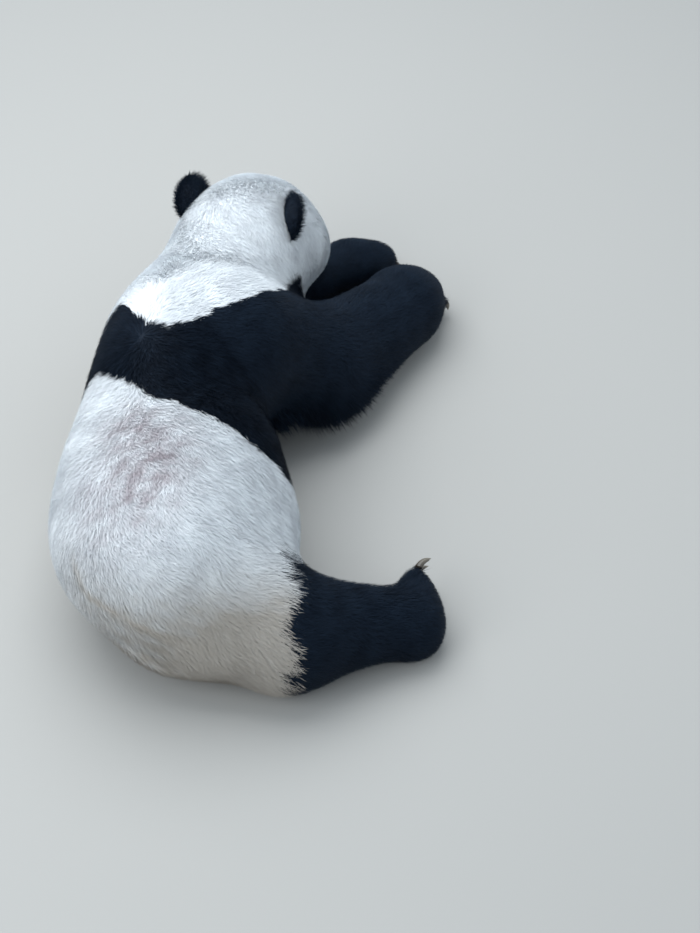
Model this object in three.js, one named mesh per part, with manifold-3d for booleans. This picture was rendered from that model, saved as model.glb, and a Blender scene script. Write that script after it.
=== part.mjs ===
// Giant panda, life size, lying on its belly with its chin on its left forearm, both forelegs
// reaching to its right and its right hind leg stretched out to the side.
// Millimetres. The origin is on the floor beneath the middle of the trunk, +Y runs from rump to
// head, +X to the animal's right, the side that the legs reach to, and +Z is up.
// The body is one smooth form, out to the tips of the coat: round cones and ellipsoids that melt
// into each other. Each sub-part is its own solid, parted from its neighbours by a thin gap.
import * as THREE from "three";
import { mergeVertices } from "three/addons/utils/BufferGeometryUtils.js";
import Module from "manifold-3d";

const wasm = await Module();
wasm.setup();

// ---- Driving dimensions, mm ----
const GAP = 1; // between two parts of the body
const FIT = 0.4; // round an eye, the nose or a claw
const SEAM = 24; // how far a limb's seam lies beyond the limb's own surface
const ROOT_ROUNDING = 70; // of the hidden inner end of a limb
const HEAD_HALF_WIDTH = 130;
const HEAD_LENGTH = 300;
const EAR_SPREAD = 113;
const EAR_RADIUS = 53;
const EAR_THICKNESS = 17;
const EAR_DISH = 15;
const EAR_RISE = 8; // from an ear's root to the middle of its dish
const MUZZLE_REACH = 195;
const EYE_RADIUS = 12;
const EYE_DEPTH = 13; // from the coat's surface to the middle of the eye
const EYE_START = [30, 70, 22]; // in the head, on the line along which the right eye looks out
const EYE_GAZE = [0.42, 0.88, 0.22];
const NOSE_RADII = [27, 15, 19];
const TAIL_RADII = [42, 80, 26];
const TRUNK_HEIGHT = 205; // height of the axis of the trunk
const CLAW_LENGTH = 34;
const CLAW_RADIUS = 5.5;
const CLAW_BEND = 1.1; // radians, from root to tip
const CLAW_DROOP = -28; // degrees
const TOES = 5;
const TOE_RADII = [0.21, 0.28, 0.26]; // as shares of the paw's own half sizes
const TOE_STEP = 0.36; // sideways from toe to toe, as a share of the paw's half width
const TOE_REACH = 0.78; // of the middle toe, as a share of the paw's half length
const TOE_FAN = 7; // degrees from toe to toe

// Sizes of the facets of each part, mm
const FACET = { trunk: 84, neck: 68, head: 39, leg: 62, paw: 60, seam: 70 };

// ---- Materials ----
const fur = (colour) => new THREE.MeshStandardMaterial({ color: colour, roughness: 0.9, metalness: 0 });
const WHITE_FUR = fur("#cfccc4");
const BLACK_FUR = fur("#17181c");
const TAIL_FUR = fur("#c9c3b6");
const EYE_GLOSS = new THREE.MeshStandardMaterial({ color: "#1b120c", roughness: 0.08, metalness: 0 });
const NOSE_SKIN = new THREE.MeshStandardMaterial({ color: "#151415", roughness: 0.45, metalness: 0 });
const CLAW_HORN = new THREE.MeshStandardMaterial({ color: "#5b5044", roughness: 0.4, metalness: 0 });

// ---- Places ----
const radians = THREE.MathUtils.degToRad;

// A local frame: yaw is clockwise from above, pitch lifts its front and roll its right side.
function frame(centre, yaw = 0, pitch = 0, roll = 0) {
  const turn = new THREE.Euler(radians(pitch), radians(-roll), radians(-yaw), "ZXY");
  const matrix = new THREE.Matrix4().makeRotationFromEuler(turn).setPosition(...centre);
  const inverse = matrix.clone().invert();
  return {
    matrix,
    out: (point) => new THREE.Vector3(...point).applyMatrix4(matrix).toArray(),
    into: (point) => {
      const e = inverse.elements;
      const [x, y, z] = point;
      return [
        e[0] * x + e[4] * y + e[8] * z + e[12],
        e[1] * x + e[5] * y + e[9] * z + e[13],
        e[2] * x + e[6] * y + e[10] * z + e[14],
      ];
    },
  };
}

// A frame within another frame.
function frameIn(outer, centre, yaw = 0, pitch = 0, roll = 0) {
  const inner = frame(centre, yaw, pitch, roll);
  const matrix = outer.matrix.clone().multiply(inner.matrix);
  return {
    matrix,
    out: (point) => outer.out(inner.out(point)),
    into: (point) => inner.into(outer.into(point)),
  };
}

const SIDES = { left: -1, right: 1 };
const HEAD = frame([122, 465, 262], 20, -24, 4);
const EARS = {
  left: frameIn(HEAD, [-EAR_SPREAD, -64, 80], -70, -8, -14),
  right: frameIn(HEAD, [EAR_SPREAD, -68, 74], 52, -8, 14),
};
const TAIL = frame([-55, -595, 105], 114, -30, 24);
const PAWS = {
  forepaw_right: { at: frame([470, 490, 68], 38, -8), radii: [82, 100, 70] },
  forepaw_left: { at: frame([375, 640, 50], 58, -6), radii: [60, 88, 52] },
  hindfoot_right: { at: frame([482, -450, 58], -8, 4, 90), radii: [58, 96, 44] },
  hindfoot_left: { at: frame([158, -325, 46], 18), radii: [55, 100, 48] },
};

// ---- Distances: each shape is a function of a point, negative inside it ----

// A cone with round ends, of radius startRadius about start and endRadius about end.
function cone(start, end, startRadius, endRadius) {
  const along = end.map((value, i) => value - start[i]);
  const length2 = along.reduce((sum, value) => sum + value * value, 0);
  const taper = startRadius - endRadius;
  const slant2 = length2 - taper * taper;
  return (p) => {
    const from = [p[0] - start[0], p[1] - start[1], p[2] - start[2]];
    const y = from[0] * along[0] + from[1] * along[1] + from[2] * along[2];
    const z = y - length2;
    let x2 = 0;
    for (let i = 0; i < 3; i++) x2 += (from[i] * length2 - along[i] * y) ** 2;
    const y2 = y * y * length2;
    const z2 = z * z * length2;
    const k = Math.sign(taper) * taper * taper * x2;
    if (Math.sign(z) * slant2 * z2 > k) return Math.sqrt(x2 + z2) / length2 - endRadius;
    if (Math.sign(y) * slant2 * y2 < k) return Math.sqrt(x2 + y2) / length2 - startRadius;
    return (Math.sqrt((x2 * slant2) / length2) + y * taper) / length2 - startRadius;
  };
}

// An ellipsoid of the given half sizes, upright or in a local frame.
function egg(centre, radii, local) {
  return (p) => {
    const q = local ? local.into(p) : p;
    let k0 = 0;
    let k1 = 0;
    for (let i = 0; i < 3; i++) {
      const t = (q[i] - centre[i]) / radii[i];
      k0 += t * t;
      k1 += (t / radii[i]) ** 2;
    }
    k0 = Math.sqrt(k0);
    return (k0 * (k0 - 1)) / Math.max(Math.sqrt(k1), 1e-9);
  };
}

// The union of two distances, with a fillet of about the given width.
function melt(a, b, width) {
  const h = Math.max(width - Math.abs(a - b), 0) / width;
  return Math.min(a, b) - (h * h * width) / 4;
}

const join = (width, ...shapes) => (p) => shapes.map((shape) => shape(p)).reduce((a, b) => melt(a, b, width));

// ---- The forms of the body ----

function headForm() {
  const cranium = egg([0, -5, 20], [HEAD_HALF_WIDTH, HEAD_LENGTH / 2, 125]);
  const forehead = egg([30, 60, 50], [75, 75, 62]);
  const cheek = egg([85, 52, -20], [82, 104, 90]);
  const bridge = cone([0, 90, 12], [0, MUZZLE_REACH, -28], 52, 36);
  const lip = egg([18, MUZZLE_REACH - 30, -52], [50, 75, 43]);
  const jaw = cone([0, 20, -85], [0, MUZZLE_REACH - 30, -88], 68, 36);
  const skull = join(50, cranium, forehead, cheek);
  return (p) => {
    const q = HEAD.into(p);
    q[0] = Math.abs(q[0]);
    return melt(melt(melt(skull(q), bridge(q), 50), lip(q), 35), jaw(q), 40);
  };
}

const neck = join(
  60,
  cone([10, 140, 235], [88, 380, 262], 152, 148),
  cone([20, 160, 170], [100, 360, 200], 135, 130),
);
const trunk = join(
  60,
  egg([-12, -270, TRUNK_HEIGHT], [234, 320, 206]),
  egg([-35, -400, TRUNK_HEIGHT], [203, 205, 206]),
  egg([45, -520, 115], [150, 135, 115]),
  egg([70, -355, 165], [176, 180, 160]),
  egg([0, 60, 208], [165, 260, 212]),
  egg([0, 0, 150], [125, 175, 154]),
  egg([-66, -40, 200], [142, 240, 180]),
  egg([-40, 0, 290], [115, 240, 140]),
);
const head = headForm();
const tail = egg([0, 0, 0], TAIL_RADII, TAIL);
const pawForm = (name) => egg([0, 0, 0], PAWS[name].radii, PAWS[name].at);

// Each leg: its upper and lower forms, the fillet that joins it to the trunk, the plane at its
// hidden inner end, and the plane that parts its paw from it.
const LEGS = {
  foreleg_right: {
    upper: [cone([90, 110, 270], [270, 215, 120], 150, 112), egg([50, 80, 270], [160, 150, 160])],
    lower: [cone([275, 212, 116], [460, 425, 89], 118, 93)],
    fillet: 50,
    root: { at: [90, 110, 250], towards: [0.9, 0.2, 0.35] },
    paw: "forepaw_right",
    wrist: { at: [435, 413, 84], towards: [0.65, 0.76, -0.08] },
  },
  foreleg_left: {
    upper: [cone([-50, 160, 150], [20, 364, 81], 120, 85)],
    lower: [cone([30, 384, 78], [330, 613, 60], 82, 62)],
    fillet: 30,
    root: { at: [-40, 205, 120], towards: [0.25, 0.95, -0.2] },
    paw: "forepaw_left",
    wrist: { at: [305, 596, 60], towards: [0.82, 0.57, 0] },
  },
  hindleg_right: {
    upper: [cone([0, -475, 225], [215, -560, 112], 170, 116)],
    lower: [cone([215, -560, 112], [425, -502, 73], 115, 74), egg([462, -502, 56], [48, 50, 58])],
    fillet: 60,
    root: { at: [60, -480, 200], towards: [0.95, -0.3, 0.1] },
    paw: "hindfoot_right",
    wrist: { at: [424, -496, 70], towards: [0.85, 0.5, 0] },
  },
  hindleg_left: {
    upper: [cone([-70, -420, 140], [60, -240, 102], 120, 100)],
    lower: [cone([60, -240, 98], [110, -370, 68], 100, 70)],
    fillet: 30,
    root: { at: [-20, -380, 90], towards: [0.55, 0.8, -0.25] },
    paw: "hindfoot_left",
    wrist: { at: [122, -335, 72], towards: [0.78, 0.1, -0.62] },
  },
};
const KNEE = 55; // the fillet between the forms of one leg
for (const leg of Object.values(LEGS)) {
  leg.hip = join(KNEE, ...leg.upper);
  leg.form = join(KNEE, ...leg.upper, ...leg.lower, pawForm(leg.paw));
}

const core = (p) => melt(melt(trunk(p), neck(p), 80), head(p), 60);
const coreWithTail = (p) => melt(core(p), tail(p), 15);

// ---- From a distance to a closed solid ----

function slopeOf(form, p) {
  const reach = 0.5;
  return [0, 1, 2].map((axis) => {
    const ahead = [...p];
    const behind = [...p];
    ahead[axis] += reach;
    behind[axis] -= reach;
    return (form(ahead) - form(behind)) / (2 * reach);
  });
}

// The corners of a cell, numbered by their bits, and its edges and faces in those numbers.
const CORNERS = [0, 1, 2, 3, 4, 5, 6, 7].map((c) => [c & 1, (c >> 1) & 1, (c >> 2) & 1]);
const EDGES = CORNERS.flatMap((bits, start) =>
  [0, 1, 2].filter((axis) => !bits[axis]).map((axis) => ({ start, axis, end: start | (1 << axis) })),
);
const FACES = [0, 1, 2].flatMap((axis) => {
  const u = 1 << (axis + 1) % 3;
  const w = 1 << (axis + 2) % 3;
  return [0, 1 << axis].map((base) => [base, base | u, base | u | w, base | w]);
});
const joins = (edge, a, b) => (edge.start === a && edge.end === b) || (edge.start === b && edge.end === a);
const edgeBetween = (a, b) => EDGES.findIndex((edge) => joins(edge, a, b));

// The patches of surface in a cell, as lists of the edges that each crosses. Two crossings are in
// one patch where they share a face and, on it, an inside corner or its whole inside.
function patchesOf(inside) {
  const patch = EDGES.map((edge, n) => (inside[edge.start] === inside[edge.end] ? -1 : n));
  const merge = (a, b) => {
    const [from, to] = [patch[a], patch[b]];
    patch.forEach((value, n) => {
      if (value === from) patch[n] = to;
    });
  };
  for (const face of FACES) {
    const sides = face.map((corner, n) => edgeBetween(corner, face[(n + 1) % 4]));
    const crossed = sides.filter((edge) => patch[edge] >= 0);
    if (crossed.length === 2) merge(...crossed);
    if (crossed.length < 4) continue;
    face.forEach((corner, n) => {
      if (inside[corner]) merge(sides[n], sides[(n + 3) % 4]);
    });
  }
  return [...new Set(patch.filter((value) => value >= 0))].map((label) =>
    patch.flatMap((value, n) => (value === label ? [n] : [])),
  );
}

// The surface where the form is zero, as a net with a vertex for each patch of it in each cell of
// a lattice. Each vertex is drawn on to the surface along the slope. The lattice's own outermost
// points count as outside, so the net is closed.
function latticeNet(form, low, high, cell) {
  const count = [0, 1, 2].map((i) => Math.ceil((high[i] - low[i]) / cell) + 1);
  const [nx, ny, nz] = count;
  const at = (i, j, k) => [low[0] + i * cell, low[1] + j * cell, low[2] + k * cell];
  const index = (i, j, k) => i + nx * (j + ny * k);
  const value = new Float64Array(nx * ny * nz);
  for (let k = 0; k < nz; k++)
    for (let j = 0; j < ny; j++)
      for (let i = 0; i < nx; i++) {
        const rim = i === 0 || j === 0 || k === 0 || i === nx - 1 || j === ny - 1 || k === nz - 1;
        const distance = form(at(i, j, k));
        value[index(i, j, k)] = rim ? Math.max(distance, cell / 2) : distance;
      }
  const drawn = (start) => {
    let p = start;
    for (let turn = 0; turn < 3; turn++) {
      const distance = form(p);
      if (Math.abs(distance) > 0.6 * cell) break;
      const slope = slopeOf(form, p);
      const steep = slope.reduce((sum, s) => sum + s * s, 0);
      p = p.map((x, m) => x - (slope[m] * distance) / Math.max(steep, 0.2));
    }
    return p;
  };
  const vertexOf = new Map();
  const points = [];
  for (let k = 0; k < nz - 1; k++)
    for (let j = 0; j < ny - 1; j++)
      for (let i = 0; i < nx - 1; i++) {
        const v = CORNERS.map(([a, b, c]) => value[index(i + a, j + b, k + c)]);
        const inside = v.map((x) => x < 0);
        if (inside.every((x) => x === inside[0])) continue;
        for (const patch of patchesOf(inside)) {
          const mean = [i, j, k];
          for (const n of patch) {
            const { start, axis, end } = EDGES[n];
            const share = v[start] / (v[start] - v[end]);
            for (let m = 0; m < 3; m++) {
              mean[m] += (CORNERS[start][m] + (m === axis ? share : 0)) / patch.length;
            }
            vertexOf.set(12 * index(i, j, k) + n, points.length);
          }
          points.push(drawn(mean.map((x, m) => low[m] + x * cell)));
        }
      }
  const triangles = [];
  const apart = (a, b) => Math.hypot(...points[a].map((x, m) => x - points[b][m]));
  const steps = [1, nx, nx * ny];
  for (let k = 0; k < nz - 1; k++)
    for (let j = 0; j < ny - 1; j++)
      for (let i = 0; i < nx - 1; i++)
        for (let axis = 0; axis < 3; axis++) {
          const here = index(i, j, k);
          const inside = value[here] < 0;
          if (inside === value[here + steps[axis]] < 0) continue;
          const [u, w] = [(axis + 1) % 3, (axis + 2) % 3];
          const ring = [[1, 1], [0, 1], [0, 0], [1, 0]].map(([a, b]) => {
            const corner = (a << u) | (b << w);
            const edge = edgeBetween(corner, corner | (1 << axis));
            return vertexOf.get(12 * (here - a * steps[u] - b * steps[w]) + edge);
          });
          if (!inside) ring.reverse();
          const [a, b, c, d] = ring;
          if (apart(a, c) < apart(b, d)) triangles.push(a, b, c, a, c, d);
          else triangles.push(b, c, d, b, d, a);
        }
  return { points, triangles };
}

// Whether some edge of a net is shared by more than two of its triangles.
function isPinched(triangles) {
  const seen = new Set();
  return triangles.some((from, n) => {
    const to = triangles[n % 3 === 2 ? n - 2 : n + 1];
    const key = `${from} ${to}`;
    const again = seen.has(key);
    seen.add(key);
    return again;
  });
}

// The net of a form, on a lattice moved a little where the first one would pinch the net.
function netOf(form, low, high, cell) {
  for (let move = 0; move < 10; move++) {
    const net = latticeNet(form, low.map((x) => x - 0.11 * move * cell), high, cell);
    if (!isPinched(net.triangles)) return net;
  }
  throw new Error("every lattice pinches the net");
}

function solid(points, triangles) {
  return new wasm.Manifold(
    new wasm.Mesh({
      numProp: 3,
      vertProperties: new Float32Array(points.flat()),
      triVerts: new Uint32Array(triangles),
    }),
  );
}

function solidOfNet(form, low, high, cell) {
  const { points, triangles } = netOf(form, low, high, cell);
  return solid(points, triangles);
}

// A three.js geometry as a solid, with only its positions kept.
function solidOfGeometry(geometry) {
  const bare = new THREE.BufferGeometry();
  bare.setAttribute("position", geometry.getAttribute("position"));
  if (geometry.index) bare.setIndex(geometry.index);
  const merged = mergeVertices(bare, 1e-3);
  return new wasm.Manifold(
    new wasm.Mesh({
      numProp: 3,
      vertProperties: new Float32Array(merged.attributes.position.array),
      triVerts: new Uint32Array(merged.index.array),
    }),
  );
}

// An ellipsoid of the given half sizes, at a place given as a matrix.
const ball = (radii, place, around = 9, down = 6) => {
  const sphere = new THREE.SphereGeometry(1, around, down);
  sphere.scale(...radii);
  sphere.applyMatrix4(place);
  return solidOfGeometry(sphere);
};

// All of space, near the body, that lies more than back beyond a plane.
const FAR = 2400;
function beyond(point, towards, back = 0) {
  const normal = new THREE.Vector3(...towards).normalize();
  const block = new THREE.BoxGeometry(FAR, FAR, FAR);
  block.translate(0, 0, FAR / 2 + back);
  block.applyQuaternion(new THREE.Quaternion().setFromUnitVectors(new THREE.Vector3(0, 0, 1), normal));
  block.translate(...point);
  return solidOfGeometry(block);
}

const opposite = (direction) => direction.map((x) => -x);
const ABOVE_FLOOR = beyond([0, 0, 0], [0, 0, 1]);

// A region that a limb takes from the body, as the solid to keep and the wider solid to clear.
function regionOf(form, low, high, cell) {
  const { points, triangles } = netOf(form, low, high, cell);
  const wider = points.map((p) => {
    const slope = slopeOf(form, p);
    const steep = Math.hypot(...slope) || 1;
    return p.map((x, m) => x + (GAP * slope[m]) / steep);
  });
  return { form, keep: solid(points, triangles), clear: solid(wider, triangles) };
}

// A form kept to a region and a little beyond it, for the exact cut to trim.
const near = (form, region, trim) => (p) => Math.max(form(p), region.form(p) - trim);

const biggest = (shape) => shape.decompose().reduce((a, b) => (a.volume() > b.volume() ? a : b));

// ---- Parting the body ----

// The corners of a block round the body, wide enough for every part.
const LOW = [-330, -800, -70];
const HIGH = [700, 860, 560];
const boxOf = (centre, reach) => [centre.map((x) => x - reach), centre.map((x) => x + reach)];

function legRegion({ form, root }) {
  const normal = new THREE.Vector3(...root.towards).normalize().toArray();
  const behindRoot = (p) => -p.reduce((sum, x, i) => sum + (x - root.at[i]) * normal[i], 0);
  const region = (p) => -melt(SEAM - form(p), -behindRoot(p), ROOT_ROUNDING);
  return regionOf(region, LOW, HIGH, FACET.seam);
}

const legs = Object.fromEntries(Object.entries(LEGS).map(([name, leg]) => [name, legRegion(leg)]));
const NECK_CUT = { at: [22, 205, 240], towards: [0.3, 0.95, 0.05] };
const HEAD_CUT = { at: [100, 392, 255], towards: [0.32, 0.94, -0.1] };

const minus = (shape, ...tools) => tools.reduce((left, tool) => left.subtract(tool), shape);
const coreWithHips = (p) =>
  Object.values(LEGS).reduce((distance, leg) => melt(distance, leg.hip(p), leg.fillet), coreWithTail(p));
const clearOfLegs = Object.values(legs).map((leg) => leg.clear);

const nodes = {};

nodes.trunk = biggest(
  minus(
    solidOfNet(coreWithHips, LOW, HIGH, FACET.trunk).intersect(
      beyond(NECK_CUT.at, opposite(NECK_CUT.towards)),
    ),
    ...clearOfLegs,
    ball(TAIL_RADII.map((r) => r + GAP), TAIL.matrix, 12, 8),
  ).intersect(ABOVE_FLOOR),
);
nodes.neck = biggest(
  minus(
    solidOfNet(coreWithHips, LOW, HIGH, FACET.neck)
      .intersect(beyond(NECK_CUT.at, NECK_CUT.towards, GAP))
      .intersect(beyond(HEAD_CUT.at, opposite(HEAD_CUT.towards))),
    ...clearOfLegs,
  ).intersect(ABOVE_FLOOR),
);
nodes.tail = ball(TAIL_RADII, TAIL.matrix, 12, 8).intersect(ABOVE_FLOOR);

// The head, with its ears, eyes and nose let in
const headAlone = (p) => melt(head(p), neck(p), 60);
let skull = minus(
  solidOfNet(headAlone, ...boxOf(HEAD.out([0, 40, 0]), 330), FACET.head)
    .intersect(beyond(HEAD_CUT.at, HEAD_CUT.towards, GAP))
    .intersect(ABOVE_FLOOR),
  legs.foreleg_left.clear,
  legs.foreleg_right.clear,
);

// A closed solid from rings of equal count, with a point at each end.
function loft(rings, first, last, place) {
  const around = rings[0].length;
  const points = [...rings.flat(), first, last].map(place.out);
  const triangles = [];
  rings.forEach((_, ring) => {
    for (let i = 0; i < around; i++) {
      const next = (i + 1) % around;
      const [a, b] = [ring * around + i, ring * around + next];
      if (ring === 0) triangles.push(a, b, points.length - 2);
      if (ring === rings.length - 1) triangles.push(b, a, points.length - 1);
      else triangles.push(a, b + around, b, a, a + around, b + around);
    }
  });
  return solid(points, triangles);
}

// An ear: a dish that opens to the front, as rings out over its back and in over its front.
function earSolid(local, grow) {
  const around = 14;
  const dish = (share) => -EAR_DISH * (1 - share * share);
  const profile = [
    ...[0.4, 0.75, 0.96].map((share) => [share, dish(share) - grow]),
    [1.04, EAR_THICKNESS * 0.28],
    ...[0.9, 0.66, 0.35].map((share) => [share, dish(share) + EAR_THICKNESS * (1 - share / 2) + grow]),
  ];
  const rings = profile.map(([share, y]) =>
    Array.from({ length: around }, (_, i) => {
      const angle = (2 * Math.PI * i) / around;
      const radius = share * EAR_RADIUS + (share > 0.9 ? grow : 0);
      return [radius * Math.cos(angle), y, radius * Math.sin(angle) + EAR_RISE];
    }),
  );
  const front = dish(0) + EAR_THICKNESS + grow;
  return loft(rings, [0, dish(0) - grow, EAR_RISE], [0, front, EAR_RISE], local);
}
for (const [side, local] of Object.entries(EARS)) {
  nodes[`ear_${side}`] = earSolid(local, 0);
  skull = skull.subtract(earSolid(local, FIT));
  nodes.neck = biggest(nodes.neck.subtract(earSolid(local, FIT)));
}

// How far along a ray, from inside the form, its surface lies.
function surfaceAlong(form, start, direction) {
  let distance = 0;
  for (let turn = 0; turn < 60; turn++) {
    distance -= 0.7 * form(start.map((x, i) => x + direction[i] * distance));
  }
  return distance;
}

for (const [side, sign] of Object.entries(SIDES)) {
  const [aside, ahead, above] = EYE_START;
  const start = HEAD.out([sign * aside, ahead, above]);
  const end = HEAD.out([sign * (aside + EYE_GAZE[0]), ahead + EYE_GAZE[1], above + EYE_GAZE[2]]);
  const gaze = new THREE.Vector3(...end.map((x, i) => x - start[i])).normalize().toArray();
  const depth = surfaceAlong(headAlone, start, gaze) - EYE_DEPTH;
  const centre = start.map((x, i) => x + gaze[i] * depth);
  const place = new THREE.Matrix4().setPosition(...centre);
  nodes[`eye_${side}`] = ball([EYE_RADIUS, EYE_RADIUS, EYE_RADIUS], place);
  const socket = EYE_RADIUS + FIT;
  skull = skull.subtract(ball([socket, socket, socket], place));
  const opening = new THREE.CylinderGeometry(EYE_RADIUS * 1.15, EYE_RADIUS * 0.8, 3 * EYE_DEPTH, 12);
  opening.translate(0, 1.5 * EYE_DEPTH + EYE_RADIUS * 0.4, 0);
  opening.applyQuaternion(
    new THREE.Quaternion().setFromUnitVectors(new THREE.Vector3(0, 1, 0), new THREE.Vector3(...gaze)),
  );
  opening.translate(...centre);
  skull = skull.subtract(solidOfGeometry(opening));
}
const noseFrame = frameIn(HEAD, [0, MUZZLE_REACH + 30, -26], 0, -12);
nodes.nose = ball(NOSE_RADII, noseFrame.matrix, 12, 8);
skull = skull.subtract(ball(NOSE_RADII.map((r) => r + FIT), noseFrame.matrix, 12, 8));
nodes.head = biggest(skull);

// A claw: rings that shrink along an arc bent down, with its root at the frame's centre.
function clawSolid(place, grow) {
  const around = 5;
  const spine = (t) => [
    (CLAW_LENGTH * Math.sin(t * CLAW_BEND)) / CLAW_BEND,
    (-CLAW_LENGTH * (1 - Math.cos(t * CLAW_BEND))) / CLAW_BEND,
  ];
  const rings = [0, 0.35, 0.7].map((t) => {
    const radius = CLAW_RADIUS * (1 - 0.8 * t * t) + grow;
    const [y, z] = spine(t);
    return Array.from({ length: around }, (_, i) => {
      const angle = (2 * Math.PI * i) / around;
      const rise = 1.3 * radius * Math.sin(angle);
      const turn = t * CLAW_BEND;
      return [radius * Math.cos(angle), y + rise * Math.sin(turn), z + rise * Math.cos(turn)];
    });
  });
  const [tipY, tipZ] = spine(1);
  return loft(rings, [0, -grow - 1, 0], [0, tipY + grow, tipZ], place);
}

// The legs, each parted from its paw at the wrist or ankle. A paw gains its toes, in an arc
// across its front, and the claws are let in at their tips.
for (const [name, leg] of Object.entries(LEGS)) {
  const fused = (p) => melt(core(p), leg.form(p), leg.fillet);
  const others = Object.keys(LEGS).filter((other) => other < name).map((other) => legs[other].clear);
  const whole = (cell) =>
    minus(
      solidOfNet(near(fused, legs[name], 1.3 * cell), LOW, HIGH, cell).intersect(legs[name].keep),
      ...others,
    ).intersect(ABOVE_FLOOR);
  const { at, towards } = leg.wrist;
  nodes[name] = biggest(whole(FACET.leg).intersect(beyond(at, opposite(towards))));
  const { at: palm, radii } = PAWS[leg.paw];
  let paw = biggest(whole(FACET.paw).intersect(beyond(at, towards, GAP)));
  const claws = [];
  for (let n = 0; n < TOES; n++) {
    const across = n - (TOES - 1) / 2;
    const forward = TOE_REACH - 0.05 * across * across;
    const toe = [across * TOE_STEP * radii[0], forward * radii[1], -0.2 * radii[2]];
    const toePlace = frameIn(palm, toe, TOE_FAN * across);
    paw = paw.add(ball(TOE_RADII.map((share, i) => share * radii[i]), toePlace.matrix, 7, 4));
    claws.push(frameIn(toePlace, [0, TOE_RADII[1] * radii[1] * 0.45, 0], 0, CLAW_DROOP));
  }
  claws.forEach((place, n) => {
    nodes[`claw_${leg.paw}_${n + 1}`] = clawSolid(place, 0).intersect(ABOVE_FLOOR);
    paw = paw.subtract(clawSolid(place, FIT));
  });
  nodes[leg.paw] = biggest(paw.intersect(ABOVE_FLOOR));
}

// ---- The scene graph ----

const COLOURS = {
  head: WHITE_FUR,
  neck: WHITE_FUR,
  trunk: WHITE_FUR,
  tail: TAIL_FUR,
  nose: NOSE_SKIN,
  eye: EYE_GLOSS,
  claw: CLAW_HORN,
};

const panda = new THREE.Group();
panda.name = "giant_panda";
for (const [name, shape] of Object.entries(nodes)) {
  const { vertProperties, triVerts } = shape.getMesh();
  const geometry = new THREE.BufferGeometry();
  geometry.setAttribute("position", new THREE.BufferAttribute(vertProperties, 3));
  geometry.setIndex(new THREE.BufferAttribute(triVerts, 1));
  geometry.computeVertexNormals();
  const mesh = new THREE.Mesh(geometry, COLOURS[name.split("_")[0]] ?? BLACK_FUR);
  mesh.name = name;
  panda.add(mesh);
}

export default panda;
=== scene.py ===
"""A giant panda at life size, lying on its belly: its skin, coat, eyes, nose and claws."""

import math

import bpy
import numpy as np
from mathutils import Matrix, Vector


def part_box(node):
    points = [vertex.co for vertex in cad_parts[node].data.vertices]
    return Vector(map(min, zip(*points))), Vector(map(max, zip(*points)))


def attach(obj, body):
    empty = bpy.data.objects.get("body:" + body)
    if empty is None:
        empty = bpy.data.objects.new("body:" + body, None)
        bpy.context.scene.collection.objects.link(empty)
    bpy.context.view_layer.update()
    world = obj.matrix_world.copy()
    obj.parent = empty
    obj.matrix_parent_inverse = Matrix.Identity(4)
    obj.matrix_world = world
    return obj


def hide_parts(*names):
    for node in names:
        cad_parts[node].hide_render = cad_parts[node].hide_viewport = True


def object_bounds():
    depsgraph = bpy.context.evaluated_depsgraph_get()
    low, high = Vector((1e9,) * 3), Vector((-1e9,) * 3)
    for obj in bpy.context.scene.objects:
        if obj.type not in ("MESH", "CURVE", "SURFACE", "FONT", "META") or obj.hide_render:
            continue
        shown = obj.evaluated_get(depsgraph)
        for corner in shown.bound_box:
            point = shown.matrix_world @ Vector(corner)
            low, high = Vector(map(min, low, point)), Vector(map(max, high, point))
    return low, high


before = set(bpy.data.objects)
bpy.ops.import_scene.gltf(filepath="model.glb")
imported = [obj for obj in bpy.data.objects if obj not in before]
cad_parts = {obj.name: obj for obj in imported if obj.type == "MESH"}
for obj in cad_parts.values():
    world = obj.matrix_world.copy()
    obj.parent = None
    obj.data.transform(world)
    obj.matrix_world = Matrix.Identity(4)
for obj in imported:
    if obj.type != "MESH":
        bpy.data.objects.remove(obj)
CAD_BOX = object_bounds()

bl_info = {
    "name": "Giant panda",
    "version": (1, 0, 0),
    "blender": (4, 5, 0),
    "location": "3D View > Sidebar > Panda",
    "description": "Builds a lying giant panda with a mesh coat",
    "category": "Add Mesh",
}

# ---------------------------------------------------------------- places on the animal, in metres


def turned(yaw, pitch, roll):
    """A turn as a matrix whose columns are a part's own right, front and top: yaw is clockwise
    seen from above, pitch lifts the front and roll lifts the right side, in degrees."""
    y, p, r = np.radians([yaw, pitch, roll])
    about_z = np.array([[np.cos(y), np.sin(y), 0], [-np.sin(y), np.cos(y), 0], [0, 0, 1]])
    about_x = np.array([[1, 0, 0], [0, np.cos(p), -np.sin(p)], [0, np.sin(p), np.cos(p)]])
    about_y = np.array([[np.cos(r), 0, -np.sin(r)], [0, 1, 0], [np.sin(r), 0, np.cos(r)]])
    return about_z @ about_x @ about_y


class Place:
    """A local frame: a centre and a turn. out() takes local points to the row frame, into() back."""

    def __init__(self, centre, yaw=0.0, pitch=0.0, roll=0.0, within=None):
        self.turn = turned(yaw, pitch, roll)
        self.centre = np.array(centre, float)
        if within is not None:
            self.centre = within.out(self.centre)
            self.turn = within.turn @ self.turn

    def out(self, points):
        return self.centre + np.asarray(points) @ self.turn.T

    def into(self, points):
        return (points - self.centre) @ self.turn


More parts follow.
